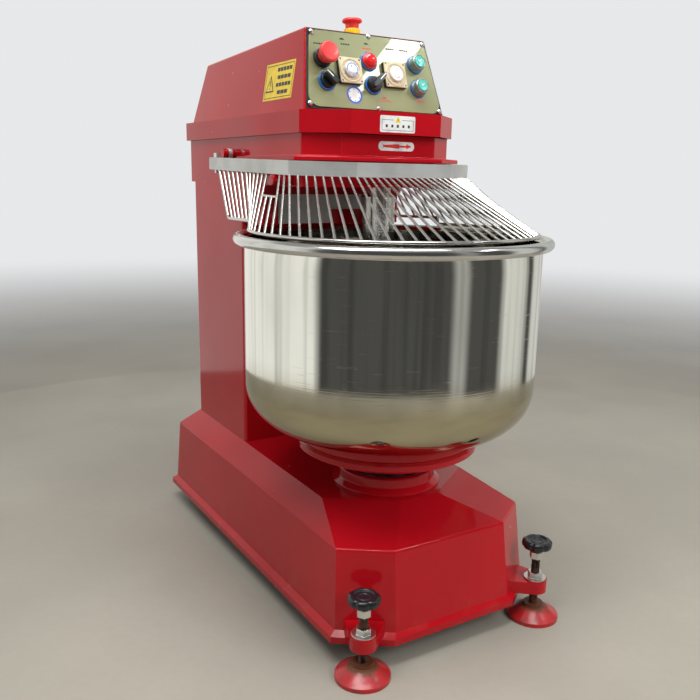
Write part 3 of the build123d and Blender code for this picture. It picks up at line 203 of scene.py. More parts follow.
def panel_material():
    """Glossy olive front plate: a clear coat over brushed sheet, with a few hand marks."""
    made, tree, surface, place = shader("panel_steel", Metallic=0.25, Coat_Weight=1.0,
                                        Coat_Roughness=0.02)
    lines = noise(tree, place, 320, 3, (0.08, 1, 1))
    hands = steps(tree, noise(tree, place, 9, 3), 0.4, 0.75)
    colour = mix(tree, hands, (0.245, 0.26, 0.125), (0.205, 0.22, 0.115))
    value = math_node(tree, "ADD", math_node(tree, "MULTIPLY", hands, 0.1), 0.3)
    connect(tree, surface, Base_Color=colour, Roughness=value,
            Normal=bump(tree, lines, 0.08, 0.0001))
    return made


def rusty_material(name, steel, rust, amount):
    """Zinc or plain steel with patches of rust; amount from 0, clean, to 1, rusted over."""
    made, tree, surface, place = shader(name)
    patch = noise(tree, place, 95, 6)
    mask = steps(tree, patch, 0.72 - 0.45 * amount, 0.80 - 0.45 * amount)
    speck = noise(tree, place, 420, 3)
    brown = mix(tree, speck, rust, tuple(c * 0.35 for c in rust))
    colour = mix(tree, mask, steel, brown)
    metal = math_node(tree, "SUBTRACT", 1.0, mask)
    value = math_node(tree, "ADD", math_node(tree, "MULTIPLY", mask, 0.5), 0.32)
    connect(tree, surface, Base_Color=colour, Metallic=metal, Roughness=value,
            Normal=bump(tree, patch, 0.35, 0.0006))
    return made


FOOT_X, FOOT_Y = 0.1934, -0.4111


def pad_material():
    """Red foot pads with rust creeping out from the screw."""
    made, tree, surface, place = shader("pad_enamel", Coat_Weight=0.25, Coat_Roughness=0.2)
    parts = node(tree, "ShaderNodeSeparateXYZ", {0: place})
    across = math_node(tree, "SUBTRACT", math_node(tree, "ABSOLUTE", parts.outputs["X"]), FOOT_X)
    along = math_node(tree, "SUBTRACT", parts.outputs["Y"], FOOT_Y)
    reach = math_node(tree, "SQRT", math_node(tree, "ADD", math_node(tree, "MULTIPLY", across, across),
                                              math_node(tree, "MULTIPLY", along, along)))
    ragged = math_node(tree, "MULTIPLY", noise(tree, place, 70, 5), 0.022)
    rust = steps(tree, math_node(tree, "SUBTRACT", reach, ragged), 0.020, 0.011)
    grime = steps(tree, noise(tree, place, 60, 5), 0.5, 0.72)
    red = mix(tree, grime, (0.42, 0.010, 0.014), (0.26, 0.022, 0.018))
    colour = mix(tree, rust, red, mix(tree, noise(tree, place, 300, 3), (0.20, 0.055, 0.016),
                                      (0.05, 0.018, 0.010)))
    value = math_node(tree, "ADD", math_node(tree, "MULTIPLY", rust, 0.4), 0.3)
    connect(tree, surface, Base_Color=colour, Roughness=value,
            Normal=bump(tree, noise(tree, place, 140, 4), 0.25, 0.0006))
    return made


MATERIALS = {
    "red_enamel": enamel_material(),
    "pad_enamel": pad_material(),
    "bowl_steel": polished_steel_material("bowl_steel", (0.80, 0.79, 0.73), 0.05, 0.08),
    "rim_steel": polished_steel_material("rim_steel", (0.66, 0.66, 0.64), 0.17, 0.2),
    "rod_steel": polished_steel_material("rod_steel", (0.60, 0.59, 0.56), 0.2, 0.2),
    "bar_steel": brushed_material("bar_steel", (0.62, 0.62, 0.60), 0.34, (0.05, 0.05, 1), metal=0.45),
    "splash_steel": brushed_material("splash_steel", (0.60, 0.61, 0.61), 0.36, (1, 1, 0.05),
                                     metal=0.6),
    "bezel_metal": brushed_material("bezel_metal", (0.46, 0.52, 0.52), 0.28, (1, 1, 0.3)),
    "zinc": rusty_material("zinc", (0.72, 0.71, 0.68), (0.28, 0.09, 0.03), 0.08),
    "screw_steel": rusty_material("screw_steel", (0.07, 0.06, 0.05), (0.13, 0.045, 0.018), 0.5),
    "shaft_steel": rusty_material("shaft_steel", (0.34, 0.33, 0.32), (0.2, 0.08, 0.03), 0.2),
    "panel_steel": panel_material(),
    "steel_plate": moulded_material("steel_plate", (0.10, 0.10, 0.11), 0.5),
    "black_rubber": moulded_material("black_rubber", (0.012, 0.012, 0.013), 0.5, 0.3, 700,
                                     (0.03, 0.03, 0.03)),
    "black_plastic": moulded_material("black_plastic", (0.006, 0.008, 0.011), 0.3, 0.12, 600,
                                      (0.012, 0.014, 0.018), 0.1),
    "blue_collar": moulded_material("blue_collar", (0.02, 0.14, 0.42), 0.24, coat=0.5),
    "green_cap": moulded_material("green_cap", (0.05, 0.50, 0.40), 0.3, coat=0.5),
    "mark_white": moulded_material("mark_white", (0.80, 0.80, 0.78), 0.35),
    "mark_blue": moulded_material("mark_blue", (0.02, 0.10, 0.50), 0.35),
    "mark_black": moulded_material("mark_black", (0.015, 0.015, 0.018), 0.4),
    "mark_red": moulded_material("mark_red", (0.72, 0.03, 0.02), 0.35),
    "mark_yellow": moulded_material("mark_yellow", (0.86, 0.62, 0.03), 0.38,
                                    second=(0.72, 0.50, 0.03)),
    "stop_red": moulded_material("stop_red", (0.72, 0.035, 0.035), 0.34, second=(0.64, 0.05, 0.045),
                                 coat=0.35),
    "lens_red": moulded_material("lens_red", (0.70, 0.010, 0.012), 0.12, coat=1.0),
    "yellow_plastic": moulded_material("yellow_plastic", (0.90, 0.58, 0.01), 0.3, coat=0.4),
    "beige_plastic": moulded_material("beige_plastic", (0.62, 0.54, 0.36), 0.42,
                                      second=(0.50, 0.42, 0.27)),
    "dial_white": moulded_material("dial_white", (0.82, 0.82, 0.80), 0.22, coat=0.5),
    "cast_grey": moulded_material("cast_grey", (0.12, 0.125, 0.13), 0.55, 0.6, 260),
    "motor_blue": moulded_material("motor_blue", (0.035, 0.07, 0.12), 0.4, 0.4, 300),
    "polyurethane": moulded_material("polyurethane", (0.030, 0.030, 0.031), 0.55, 0.4, 300,
                                     (0.07, 0.065, 0.06)),
}

NODE_MATERIALS = {
    "red_enamel": ("base_housing", "column_housing", "rear_cover", "head_housing", "hood",
                   "spiral_bearing_housing", "pedestal_collar", "turntable", "bowl_seat_ring",
                   "guard_pins"),
    "pad_enamel": ("left_foot_pad", "right_foot_pad"),
    "steel_plate": ("chassis_plate",),
    "zinc": ("cover_screws", "guard_lug_bolts", "foot_lock_nuts", "rear_wheel_forks"),
    "black_plastic": ("cable_gland", "contact_blocks", "selector_knob", "lever_switch",
                      "left_foot_knob", "right_foot_knob"),
    "black_rubber": ("panel_gasket", "spiral_belt", "bowl_belt"),
    "panel_steel": ("control_panel",),
    "blue_collar": ("switch_collars",),
    "bezel_metal": ("button_bezels",),
    "green_cap": ("start_button", "halt_button"),
    "stop_red": ("panel_stop_button", "top_stop_button"),
    "lens_red": ("power_lamp",),
    "beige_plastic": ("timer_cases",),
    "dial_white": ("left_timer_dial", "right_timer_dial"),
    "yellow_plastic": ("top_stop_base",),
    "splash_steel": ("splash_plate",),
    "rod_steel": ("breaker_bar", "spiral_hook", "guard_rods", "guard_ring"),
    "bar_steel": ("guard_bar", "guard_hinge_lugs"),
    "shaft_steel": ("shaft_bearings", "spiral_shaft", "bowl_shaft"),
    "screw_steel": ("left_foot_screw", "right_foot_screw"),
    "cast_grey": ("spiral_pulley", "main_motor_pulley", "bowl_bearing_housing", "bowl_pulley",
                  "bowl_motor_pulley"),
    "motor_blue": ("main_motor", "bowl_motor"),
    "polyurethane": ("left_rear_wheel", "right_rear_wheel"),
    "bowl_steel": ("bowl",),
}
ROUNDED = {                # width of the rounded edge on the CAD pieces that show their edges
    "base_housing": 2.2, "column_housing": 1.8, "head_housing": 1.8, "hood": 1.6, "rear_cover": 0.5,
    "guard_bar": 0.8, "control_panel": 0.4, "timer_cases": 0.6, "foot_lock_nuts": 0.7,
    "guard_lug_bolts": 0.6, "guard_hinge_lugs": 0.8, "turntable": 1.0, "bowl_seat_ring": 1.0,
    "pedestal_collar": 0.8, "splash_plate": 0.3, "rear_wheel_forks": 0.6, "cable_gland": 0.5,
}


def dress_cad():
    """Materials on every CAD node, and rounded edges by modifiers on those that need them."""
    for name, nodes in NODE_MATERIALS.items():
        for label in nodes:
            shown = frame["nodes"][label]
            shown.data.materials.clear()
            shown.data.materials.append(MATERIALS[name])
    for label, width in ROUNDED.items():
        shown = frame["nodes"][label]
        weld = shown.modifiers.new("weld", "WELD")
        weld.merge_threshold = 0.00002
        edge = shown.modifiers.new("edge", "BEVEL")
        edge.width = width * MM
        edge.segments = 3
        edge.limit_method = "ANGLE"
        edge.angle_limit = SHARP
        edge.use_clamp_overlap = True
        edge.harden_normals = False
        even = shown.modifiers.new("even", "WEIGHTED_NORMAL")
        even.keep_sharp = True


dress_cad()


# ---------------------------------------------------------------- mesh helpers
def piece(name, mesh, materials, body, stands_for=()):
    """Turns a bmesh into a shown piece that rides on a body."""
    bmesh.ops.recalc_face_normals(mesh, faces=mesh.faces)
    for face in mesh.faces:
        face.smooth = True
    for edge in mesh.edges:
        if len(edge.link_faces) == 2 and edge.calc_face_angle(0) > SHARP:
            edge.smooth = False
    data = bpy.data.meshes.new(name)
    mesh.to_mesh(data)
    mesh.free()
    for material in materials:
        data.materials.append(MATERIALS[material])
    made = bpy.data.objects.new(name, data)
    scene.collection.objects.link(made)
    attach(made, body)
    if stands_for:
        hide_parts(*stands_for)
    return made


def soften(points, radius, count=4):
    """Open outline with each inner corner rounded."""
    made = [Vector(points[0])]
    for before, corner, after in zip(points, points[1:], points[2:]):
        before, corner, after = Vector(before), Vector(corner), Vector(after)
        back, on = before - corner, after - corner
        reach = min(radius, 0.45 * back.length, 0.45 * on.length)
        start, end = corner + back.normalized() * reach, corner + on.normalized() * reach
        for k in range(count + 1):
            t = k / count
            made.append(start * (1 - t) ** 2 + corner * (2 * t * (1 - t)) + end * t ** 2)
    made.append(Vector(points[-1]))
    return [(p[0], p[1]) for p in made]


def add_lathe(mesh, place, profile, around=96, shape=None, material=0):
    """Turned surface from (radius, height) points; shape(angle, radius, height) may change the radius."""
    rings = []
    for radius, height in profile:
        if radius < 1e-6:
            rings.append([mesh.verts.new(place @ Vector((0, 0, height)))])
            continue
        ring = []
        for k in range(around):
            angle = 2 * pi * k / around
            reach = shape(angle, radius, height) if shape else radius
            ring.append(mesh.verts.new(place @ Vector((reach * cos(angle), reach * sin(angle), height))))
        rings.append(ring)
    for low, high in zip(rings, rings[1:]):
        for k in range(around):
            corners = [low[k % len(low)], low[(k + 1) % len(low)],
                       high[(k + 1) % len(high)], high[k % len(high)]]
            corners = [c for i, c in enumerate(corners) if c not in corners[:i]]
            if len(corners) > 2:
                mesh.faces.new(corners).material_index = material
    return mesh


def lathe(name, place, profile, material, body, slot, stands_for=(), **how):
    """Shown piece made of one turned surface."""
    mesh = add_lathe(bmesh.new(), place, profile, **how)
    return piece(name, mesh, [material], body, stands_for)


def add_slab(mesh, place, outline, low, high, edge=0.0, material=0):
    """Flat plate with a given outline between two heights, its upper edge chamfered."""
    levels = [(low, 0.0), (high, 0.0)]
    if high - edge > low:
        levels = [(low, 0.0), (high - edge, 0.0), (high, edge)]
    centre = Vector((sum(p[0] for p in outline), sum(p[1] for p in outline))) / len(outline)
    rings = []
    for height, inset in levels:
        ring = []
        for x, y in outline:
            away = Vector((x, y)) - centre
            shrink = max(0.0, 1 - inset / max(away.length, 1e-6))
            spot = centre + away * shrink
            ring.append(mesh.verts.new(place @ Vector((spot.x, spot.y, height))))
        rings.append(ring)
    count = len(outline)
    faces = [mesh.faces.new(rings[0][::-1]), mesh.faces.new(rings[-1])]
    for a, b in zip(rings, rings[1:]):
        faces += [mesh.faces.new((a[k], a[(k + 1) % count], b[(k + 1) % count], b[k]))
                  for k in range(count)]
    for face in faces:
        face.material_index = material
    return mesh


def rounded_box(width, height, radius, count=6, at=(0.0, 0.0)):
    """Outline of a rectangle with round corners."""
    points = []
    for quarter, (sx, sy) in enumerate(((1, 1), (-1, 1), (-1, -1), (1, -1))):
        for k in range(count + 1):
            angle = pi / 2 * (quarter + k / count)
            points.append((at[0] + sx * (width / 2 - radius) + radius * cos(angle),
                           at[1] + sy * (height / 2 - radius) + radius * sin(angle)))
    return points


def placed(origin, normal=(0, 0, 1), turn=0.0):
    """Matrix at origin whose Z is the normal and whose X lies level, turned about the normal."""
    up = Vector(normal).normalized()
    across = Vector((1, 0, 0))
    across = (across - up * across.dot(up)).normalized()
    made = Matrix((across, up.cross(across), up)).transposed().to_4x4()
    made.translation = Vector(origin)
    return made @ Matrix.Rotation(turn, 4, "Z")


def upright(x, y, z=0.0):
    """Matrix at a point with its axes along the frame's."""
    return Matrix.Translation((x, y, z))


def joint(name):
    """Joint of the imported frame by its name."""
    return next(j for j in frame["joints"] if j["name"] == name)


# ---------------------------------------------------------------- bowl
BOWL_Y = joint("bowl_spin")["pos_m"][1]
BOWL_LOW, BOWL_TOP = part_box("bowl")[0].z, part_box("bowl")[1].z
BOWL_RIM_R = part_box("bowl")[1].x
BEAD_R = 0.010
WALL_R = 0.275
SKIN = 0.0025
CORNER = (0.100, 0.090)


def arc(centre, radii, start, end, count):
    """Points on an elliptical arc, angles in degrees."""
    return [(centre[0] + radii[0] * cos(radians(start + (end - start) * k / count)),
             centre[1] + radii[1] * sin(radians(start + (end - start) * k / count)))
            for k in range(count + 1)]


def bowl_piece():
    """Spun bowl: rounded corner, straight wall and a rolled bead round the rim."""
    centre = (WALL_R - CORNER[0], BOWL_LOW + CORNER[1])
    bead = (BOWL_RIM_R - BEAD_R, BOWL_TOP - BEAD_R)
    neck = BOWL_TOP - 0.0215
    outside = [(0, BOWL_LOW)] + [(r, BOWL_LOW) for r in (0.05, 0.11, 0.15)]
    outside += arc(centre, CORNER, -90, 0, 28)
    outside += [(WALL_R, BOWL_LOW + CORNER[1] + (neck - 0.004 - BOWL_LOW - CORNER[1]) * k / 12)
                for k in range(1, 13)]
    outside += [(WALL_R + 0.0012, neck + 0.003), (WALL_R + 0.005, neck + 0.0055)]
    round_bead = arc(bead, (BEAD_R, BEAD_R), -115, 170, 26)
    inner = (CORNER[0] - SKIN, CORNER[1] - SKIN)
    inside = [(WALL_R - SKIN, BOWL_TOP - 0.0105), (WALL_R - SKIN, BOWL_TOP - 0.016)]
    inside += [(WALL_R - SKIN, BOWL_TOP - 0.016 - 0.024 * k) for k in range(1, 10)]
    inside += arc(centre, inner, 0, -90, 28) + [(0.11, BOWL_LOW + SKIN), (0.05, BOWL_LOW + SKIN)]
    inside += [(0, BOWL_LOW + SKIN)]
    mesh = bmesh.new()
    add_lathe(mesh, upright(0, BOWL_Y), outside + round_bead + inside, around=240)
    for face in mesh.faces:
        middle = face.calc_center_median()
        if middle.z > BOWL_TOP - 0.0185 and hypot(middle.x, middle.y - BOWL_Y) > WALL_R:
            face.material_index = 1
    piece("bowl_shell", mesh, ["bowl_steel", "rim_steel"], "bowl", ["bowl"])


bowl_piece()

# ---------------------------------------------------------------- feet
THREAD_R, THREAD_DEEP, THREAD_PITCH = 0.008, 0.0009, 0.002


def thread_piece(name, x, y, low, high, hub_low, hub_high, body, stands_for):
    """Levelling screw: a helical thread up to its hexagonal hub."""
    mesh = bmesh.new()
    around, per_turn = 32, 6
    count = int((hub_low - low) / THREAD_PITCH * per_turn)
    levels = [low + (hub_low - low) * k / count for k in range(count + 1)]

    def ridge(angle, radius, height):
        phase = ((height - low) / THREAD_PITCH - angle / (2 * pi)) % 1.0
        return radius - THREAD_DEEP * abs(2 * phase - 1)

    profile = [(0, low)] + [(THREAD_R, z) for z in levels] + [(0, hub_low)]
    add_lathe(mesh, upright(x, y), profile, around, shape=ridge)
    hexagon = [(0.0127 * cos(pi / 3 * k), 0.0127 * sin(pi / 3 * k)) for k in range(6)]
    add_slab(mesh, upright(x, y), hexagon, hub_low, hub_high, 0.0012, material=1)
    add_lathe(mesh, upright(x, y), [(0.0078, hub_high - 0.001), (0.0078, high), (0, high)], 24)
    piece(name, mesh, ["screw_steel", "zinc"], body, stands_for)


def foot_knob(name, x, y, low, body, stands_for):
    """Round hand knob with shallow scallops and a dished top."""
    def lobed(angle, radius, height):
        bite = (0.5 + 0.5 * cos(7 * angle)) ** 5
        side = max(0.0, min(1.0, (radius - 0.018) / 0.006))
        return radius * (1 - 0.075 * bite * side)

    profile = [(0.0, 0.0), (0.0125, 0.0), (0.0135, 0.0015), (0.0155, 0.0045), (0.0215, 0.0068),
               (0.0262, 0.0085), (0.0276, 0.0108), (0.0283, 0.0140), (0.0283, 0.0168),
               (0.0274, 0.0196), (0.0252, 0.0218), (0.0225, 0.0229), (0.0198, 0.0228),
               (0.0182, 0.0219), (0.0172, 0.0204), (0.0150, 0.0197), (0.0120, 0.0196),
               (0.0114, 0.0204), (0.0102, 0.0207), (0.0092, 0.0203), (0.0086, 0.0195),
               (0.0040, 0.0193), (0.0, 0.0193)]
    lathe(name, upright(x, y, low), soften(profile, 0.001, 3), "black_plastic", body, "black_plastic",
          stands_for, around=112, shape=lobed)


for side, name in ((-1, "left"), (1, "right")):
    screw_low, screw_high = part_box(f"{name}_foot_screw")
    knob_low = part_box(f"{name}_foot_knob")[0].z
    thread_piece(f"{name}_threaded_screw", side * FOOT_X, FOOT_Y, screw_low.z, screw_high.z,
                 knob_low - 0.014, knob_low - 0.0002, f"{name}_screw", [f"{name}_foot_screw"])
    foot_knob(f"{name}_hand_knob", side * FOOT_X, FOOT_Y, knob_low, f"{name}_screw",
              [f"{name}_foot_knob"])

# ---------------------------------------------------------------- control panel
PANEL_OUT = Vector(joint("selector_turn")["axis"])
SELECTOR = (-0.103, 0.0535)
PANEL_UP = PANEL_OUT.cross(Vector((1, 0, 0)))
PANEL_FACE = (Vector(joint("selector_turn")["pos_m"]) - Vector((1, 0, 0)) * SELECTOR[0]
              - PANEL_UP * SELECTOR[1])
STOP, LAMP, LEVER = (-0.107, 0.095), (-0.008, 0.097), (-0.005, 0.0525)
START, HALT = (0.0975, 0.0995), (0.0975, 0.053)
TIMERS = ((-0.054, 0.0745), (0.044, 0.074))
PANEL_SCREWS = [(-0.1215, 0.143), (0.1215, 0.143), (-0.143, 0.011), (0.143, 0.011), (0, 0.146),
                (0.002, 0.009)]


def on_panel(at, height=0.0, turn=0.0):
    """Matrix at a point of the panel, given across and up it, at a height above its face."""
    origin = PANEL_FACE + Vector((1, 0, 0)) * at[0] + PANEL_UP * at[1] + PANEL_OUT * height
    return placed(origin, PANEL_OUT, turn)


def cross_screw(mesh, place, radius, high, turn):
    """Domed screw head with a cross recess."""
    around, rings = 48, 12
    spun = place @ Matrix.Rotation(turn, 4, "Z")
    rows = []
    for k in range(rings + 1):
        reach = radius * k / rings
        rise = high * (1 - (reach / radius) ** 2.4)
        row = []
        for j in range(around if k else 1):
            angle = 2 * pi * j / around
            x, y = reach * cos(angle), reach * sin(angle)
            slot = min(abs(x), abs(y)) < 0.10 * radius and reach < 0.55 * radius
            row.append(mesh.verts.new(spun @ Vector((x, y, rise - (0.45 * high if slot else 0)))))
        rows.append(row)
    for a, b in zip(rows, rows[1:]):
        for j in range(around):
            corners = [a[j % len(a)], b[j], b[(j + 1) % around]]
            if len(a) > 1:
                corners.append(a[(j + 1) % around])
            mesh.faces.new(corners)


def panel_screw_heads():
    """Screw heads over the panel's six corners and middles."""
    mesh = bmesh.new()
    for k, at in enumerate(PANEL_SCREWS):
        cross_screw(mesh, on_panel(at, 0.0008), 0.0050, 0.0024, 0.7 * k)
    piece("panel_screw_heads", mesh, ["zinc"], "machine")


def collars():
    """Blue legend rings under the switches, with a black one under the stop button."""
    mesh = bmesh.new()
    for at in (SELECTOR, LAMP, LEVER, START, HALT):
        add_lathe(mesh, on_panel(at), soften([(0.0085, 0), (0.0178, 0), (0.0178, 0.0022),
                                              (0.0165, 0.0032), (0.0085, 0.0032)], 0.0008, 3), 96)
    add_lathe(mesh, on_panel(STOP), soften([(0.0144, 0), (0.0178, 0), (0.0178, 0.0030),
                                            (0.0160, 0.0060), (0.0160, 0.0105), (0.0144, 0.0105)],
                                           0.0008, 3), 96, material=1)
    piece("legend_rings", mesh, ["blue_collar", "black_plastic"], "machine",
          ["switch_collars"])


def bezels():
    """Grey ring of each push button: a foot, a ribbed waist and a lip."""
    mesh = bmesh.new()

    def ribbed(angle, radius, height):
        return radius - (0.00035 * (cos(36 * angle) > 0) if 0.0055 < height < 0.0118 else 0)

    for at in (START, HALT):
        foot = [(0.0112, 0.0033), (0.0158, 0.0033), (0.0158, 0.0052), (0.0150, 0.0056),
                (0.0150, 0.0070), (0.0150, 0.0090), (0.0150, 0.0116), (0.0146, 0.0122)]
        lip = soften([(0.0146, 0.0122), (0.0146, 0.0168), (0.0134, 0.0180), (0.0119, 0.0180),
                      (0.0112, 0.0172), (0.0112, 0.0100)], 0.0007, 3)
        add_lathe(mesh, on_panel(at), foot, 144, shape=ribbed)
        add_lathe(mesh, on_panel(at), lip, 144)
    piece("button_rings", mesh, ["bezel_metal"], "machine", ["button_bezels"])


def push_button(name, at, body, node_name):
    """Teal cap, slightly dished, with a raised bar mark."""
    mesh = bmesh.new()
    cap = soften([(0.0109, 0.0090), (0.0109, 0.0186), (0.0098, 0.0196), (0.0060, 0.0192),
                  (0.0, 0.0190)], 0.0008, 4)
    add_lathe(mesh, on_panel(at), [(0, 0.0090)] + cap, 96)
    for turn, reach, shift in ((radians(45), 0.0085, (0.0012, 0.0008)), (radians(-45), 0.0045,
                                                                         (-0.0033, -0.0010))):
        add_slab(mesh, on_panel(at, 0.0, turn), rounded_box(reach, 0.0017, 0.0006, 3, shift),
                 0.0188, 0.0198, 0.0002, material=1)
    piece(name, mesh, ["green_cap", "mark_white"], body, [node_name])


def mushroom(name, place, profile, body, node_name, marks=False):
    """Red stop button head with its waist."""
    mesh = bmesh.new()
    add_lathe(mesh, place, soften(profile, 0.0022, 5), 112)
    if marks:
        top = profile[-1][1]
        for k in range(3):
            spun = place @ Matrix.Rotation(2 * pi / 3 * k + 0.4, 4, "Z")
            bow = [(0.0100 * cos(a), 0.0100 * sin(a)) for a in [radians(8 + 8 * j) for j in range(9)]]
            bow += [(0.0088 * cos(a), 0.0088 * sin(a)) for a in [radians(72 - 8 * j) for j in range(9)]]
            add_slab(mesh, spun, bow, top - 0.0006, top + 0.00025, material=1)
    piece(name, mesh, ["stop_red", "mark_white"], body, [node_name])


def lamp():
    """Red domed lamp on a dark ring."""
    dome = [(0.0, 0.0158)] + [(0.0129 * sin(radians(a)) ** 0.8, 0.0085 + 0.0073 * cos(radians(a)))
                              for a in range(10, 91, 10)]
    dome = dome[::-1]
    mesh = bmesh.new()
    add_lathe(mesh, on_panel(LAMP), soften([(0.0100, 0.0033), (0.0150, 0.0033), (0.0150, 0.0062),
                                            (0.0128, 0.0075)], 0.0008, 3), 96, material=1)
    add_lathe(mesh, on_panel(LAMP), [(0.0129, 0.0070)] + dome, 96)
    piece("lamp_lens", mesh, ["lens_red", "mark_red"], "machine", ["power_lamp"])


def selector():
    """Black selector: a round skirt with a waisted grip and a white pointer."""
    turn = radians(45)
    mesh = bmesh.new()
    add_lathe(mesh, on_panel(SELECTOR), soften([(0.0, 0.0033), (0.0148, 0.0033), (0.0148, 0.0085),
                                                (0.0136, 0.0115), (0.0, 0.0115)], 0.0012, 4), 96)
    grip = []
    for k in range(48):
        angle = 2 * pi * k / 48
        grip.append((0.0062 * (abs(cos(angle)) ** 0.55) * (1 if cos(angle) >= 0 else -1),
                     0.0146 * (abs(sin(angle)) ** 0.75) * (1 if sin(angle) >= 0 else -1)))
    add_slab(mesh, on_panel(SELECTOR, 0, turn), grip, 0.0105, 0.0248, 0.0014)
    add_slab(mesh, on_panel(SELECTOR, 0, turn), rounded_box(0.0022, 0.0150, 0.0007, 3, (0, 0.0062)),
             0.0240, 0.0251, material=1)
    add_slab(mesh, on_panel(SELECTOR, 0, turn), rounded_box(0.0022, 0.0012, 0.0004, 3, (0, 0.0144)),
             0.0130, 0.0244, material=1)
    piece("selector_grip", mesh, ["black_plastic", "mark_white"], "selector",
          ["selector_knob"])


def lever():
    """Black lever switch: a long tapered grip, a white line and a rounded tail."""
    turn = radians(-48)
    mesh = bmesh.new()
    add_lathe(mesh, on_panel(LEVER), soften([(0.0, 0.0033), (0.0148, 0.0033), (0.0148, 0.0085),
                                             (0.0134, 0.0118), (0.0, 0.0118)], 0.0012, 4), 96)
    outline = []
    for k in range(60):
        angle = 2 * pi * k / 60
        along = sin(angle)
        width = 0.0064 - 0.0018 * max(along, 0)
        outline.append((width * cos(angle), 0.008 + 0.0215 * along))
    add_slab(mesh, on_panel(LEVER, 0, turn), outline, 0.0108, 0.0208, 0.0018)
    add_slab(mesh, on_panel(LEVER, 0, turn), rounded_box(0.0020, 0.0190, 0.0006, 3, (0, 0.0165)),
             0.0200, 0.0211, material=1)
    piece("lever_grip", mesh, ["black_plastic", "mark_white"], "lever",
          ["lever_switch"])


def timers():
    """Square timer cases with a dark body, a beige frame and a sunk round face."""
    mesh = bmesh.new()
    for at in TIMERS:
        add_slab(mesh, on_panel(at), rounded_box(0.0474, 0.0474, 0.0018), 0.0, 0.0070, 0.0,
                 material=1)
        add_slab(mesh, on_panel(at), rounded_box(0.0480, 0.0480, 0.0026), 0.0070, 0.0088, 0.0007)
        ring = [(0.0232, 0.0086), (0.0226, 0.0100), (0.0196, 0.0102), (0.0188, 0.0092),
                (0.0184, 0.0086), (0.0, 0.0086)]
        add_lathe(mesh, on_panel(at), soften(ring, 0.0006, 3), 112)
        for k in range(12):
            add_slab(mesh, on_panel(at, 0, radians(30 * k)),
                     rounded_box(0.0006, 0.0020, 0.0002, 2, (0, 0.0165)), 0.0086, 0.0089,
                     material=2)
        for corner in ((-1, -1), (-1, 1), (1, -1), (1, 1)):
            spot = (at[0] + 0.0200 * corner[0], at[1] + 0.0200 * corner[1])
            add_lathe(mesh, on_panel(spot), [(0.0017, 0.0088), (0.0017, 0.0090), (0.0, 0.0090)], 20,
                      material=1)
    piece("timer_bodies", mesh, ["beige_plastic", "black_plastic", "mark_black"], "machine",
          ["timer_cases"])


def dial(name, at, body, node_name, radius, blue):
    """Turning dial of a timer: a low drum with a lip, ticks and a pointer notch."""
    mesh = bmesh.new()
    drum = [(0, 0.0089), (radius, 0.0089), (radius, 0.0118), (radius - 0.0008, 0.0136),
            (radius - 0.0022, 0.0142), (radius - 0.0050, 0.0137), (0.0086, 0.0137),
            (0.0080, 0.0146), (0.0, 0.0149)]
    add_lathe(mesh, on_panel(at), soften(drum, 0.0006, 3), 112)
    ink = 2 if blue else 1
    if blue:
        for k in range(24):
            long = 0.0030 if k % 3 == 0 else 0.0022
            add_slab(mesh, on_panel(at, 0, radians(15 * k)),
                     rounded_box(0.0016, long, 0.0003, 2, (0, 0.0112)), 0.0136, 0.0144, material=ink)
    add_slab(mesh, on_panel(at, 0, radians(20)), rounded_box(0.0012, 0.0055, 0.0004, 3, (0, 0.0045)),
             0.0144, 0.0151, material=ink)
    piece(name, mesh, ["dial_white", "beige_plastic", "mark_blue"], body, [node_name])


def printed_marks():
    """Generic line marks beside the switches, and the round sticker with a blue edge."""
    mesh = bmesh.new()
    rise = 0.00022
    above = [((STOP[0] - 0.004, 0.122), 1), ((TIMERS[0][0], 0.126), 1), ((LAMP[0], 0.1225), 0),
             ((TIMERS[1][0], 0.126), 1), ((START[0] - 0.022, 0.126), 1),
             ((SELECTOR[0], 0.0755), 1), ((HALT[0] + 0.002, 0.0285), 0)]
    for (u, v), ink in above:
        for k in range(4):
            add_slab(mesh, on_panel((u - 0.0075 + 0.005 * k, v)),
                     rounded_box(0.0038, 0.0024, 0.0004, 2), 0, rise, material=ink)
    for u, v, ink in ((LEVER[0] + 0.022, 0.029, 0), (TIMERS[0][0] - 0.006, 0.134, 1),
                      (LAMP[0], 0.130, 1), (HALT[0] + 0.002, 0.0345, 0)):
        fan = [(-0.006, 0), (-0.003, 0.0026), (0, 0.0034), (0.003, 0.0026), (0.006, 0)]
        add_slab(mesh, on_panel((u, v)), fan, 0, rise, material=ink)
    for k in range(6):
        add_slab(mesh, on_panel((LEVER[0] + 0.010 + 0.005 * k, 0.0245)),
                 rounded_box(0.0034, 0.0020, 0.0004, 2), 0, rise, material=0)
    piece("printed_marks", mesh, ["mark_red", "mark_black"], "machine")
    mesh = bmesh.new()
    sticker = on_panel((-0.048, 0.032))
    add_lathe(mesh, sticker, [(0.0165, 0), (0.0165, rise), (0.0128, rise)], 72, material=1)
    add_lathe(mesh, sticker, [(0.0128, rise), (0.0, rise)], 72)
    for k in range(6):
        add_slab(mesh, sticker @ Matrix.Rotation(pi / 3 * k, 4, "Z"),
                 rounded_box(0.0026, 0.0016, 0.0005, 3, (0, 0.0108)), rise, 1.6 * rise, material=1)
    piece("round_sticker", mesh, ["mark_white", "mark_blue"], "machine")


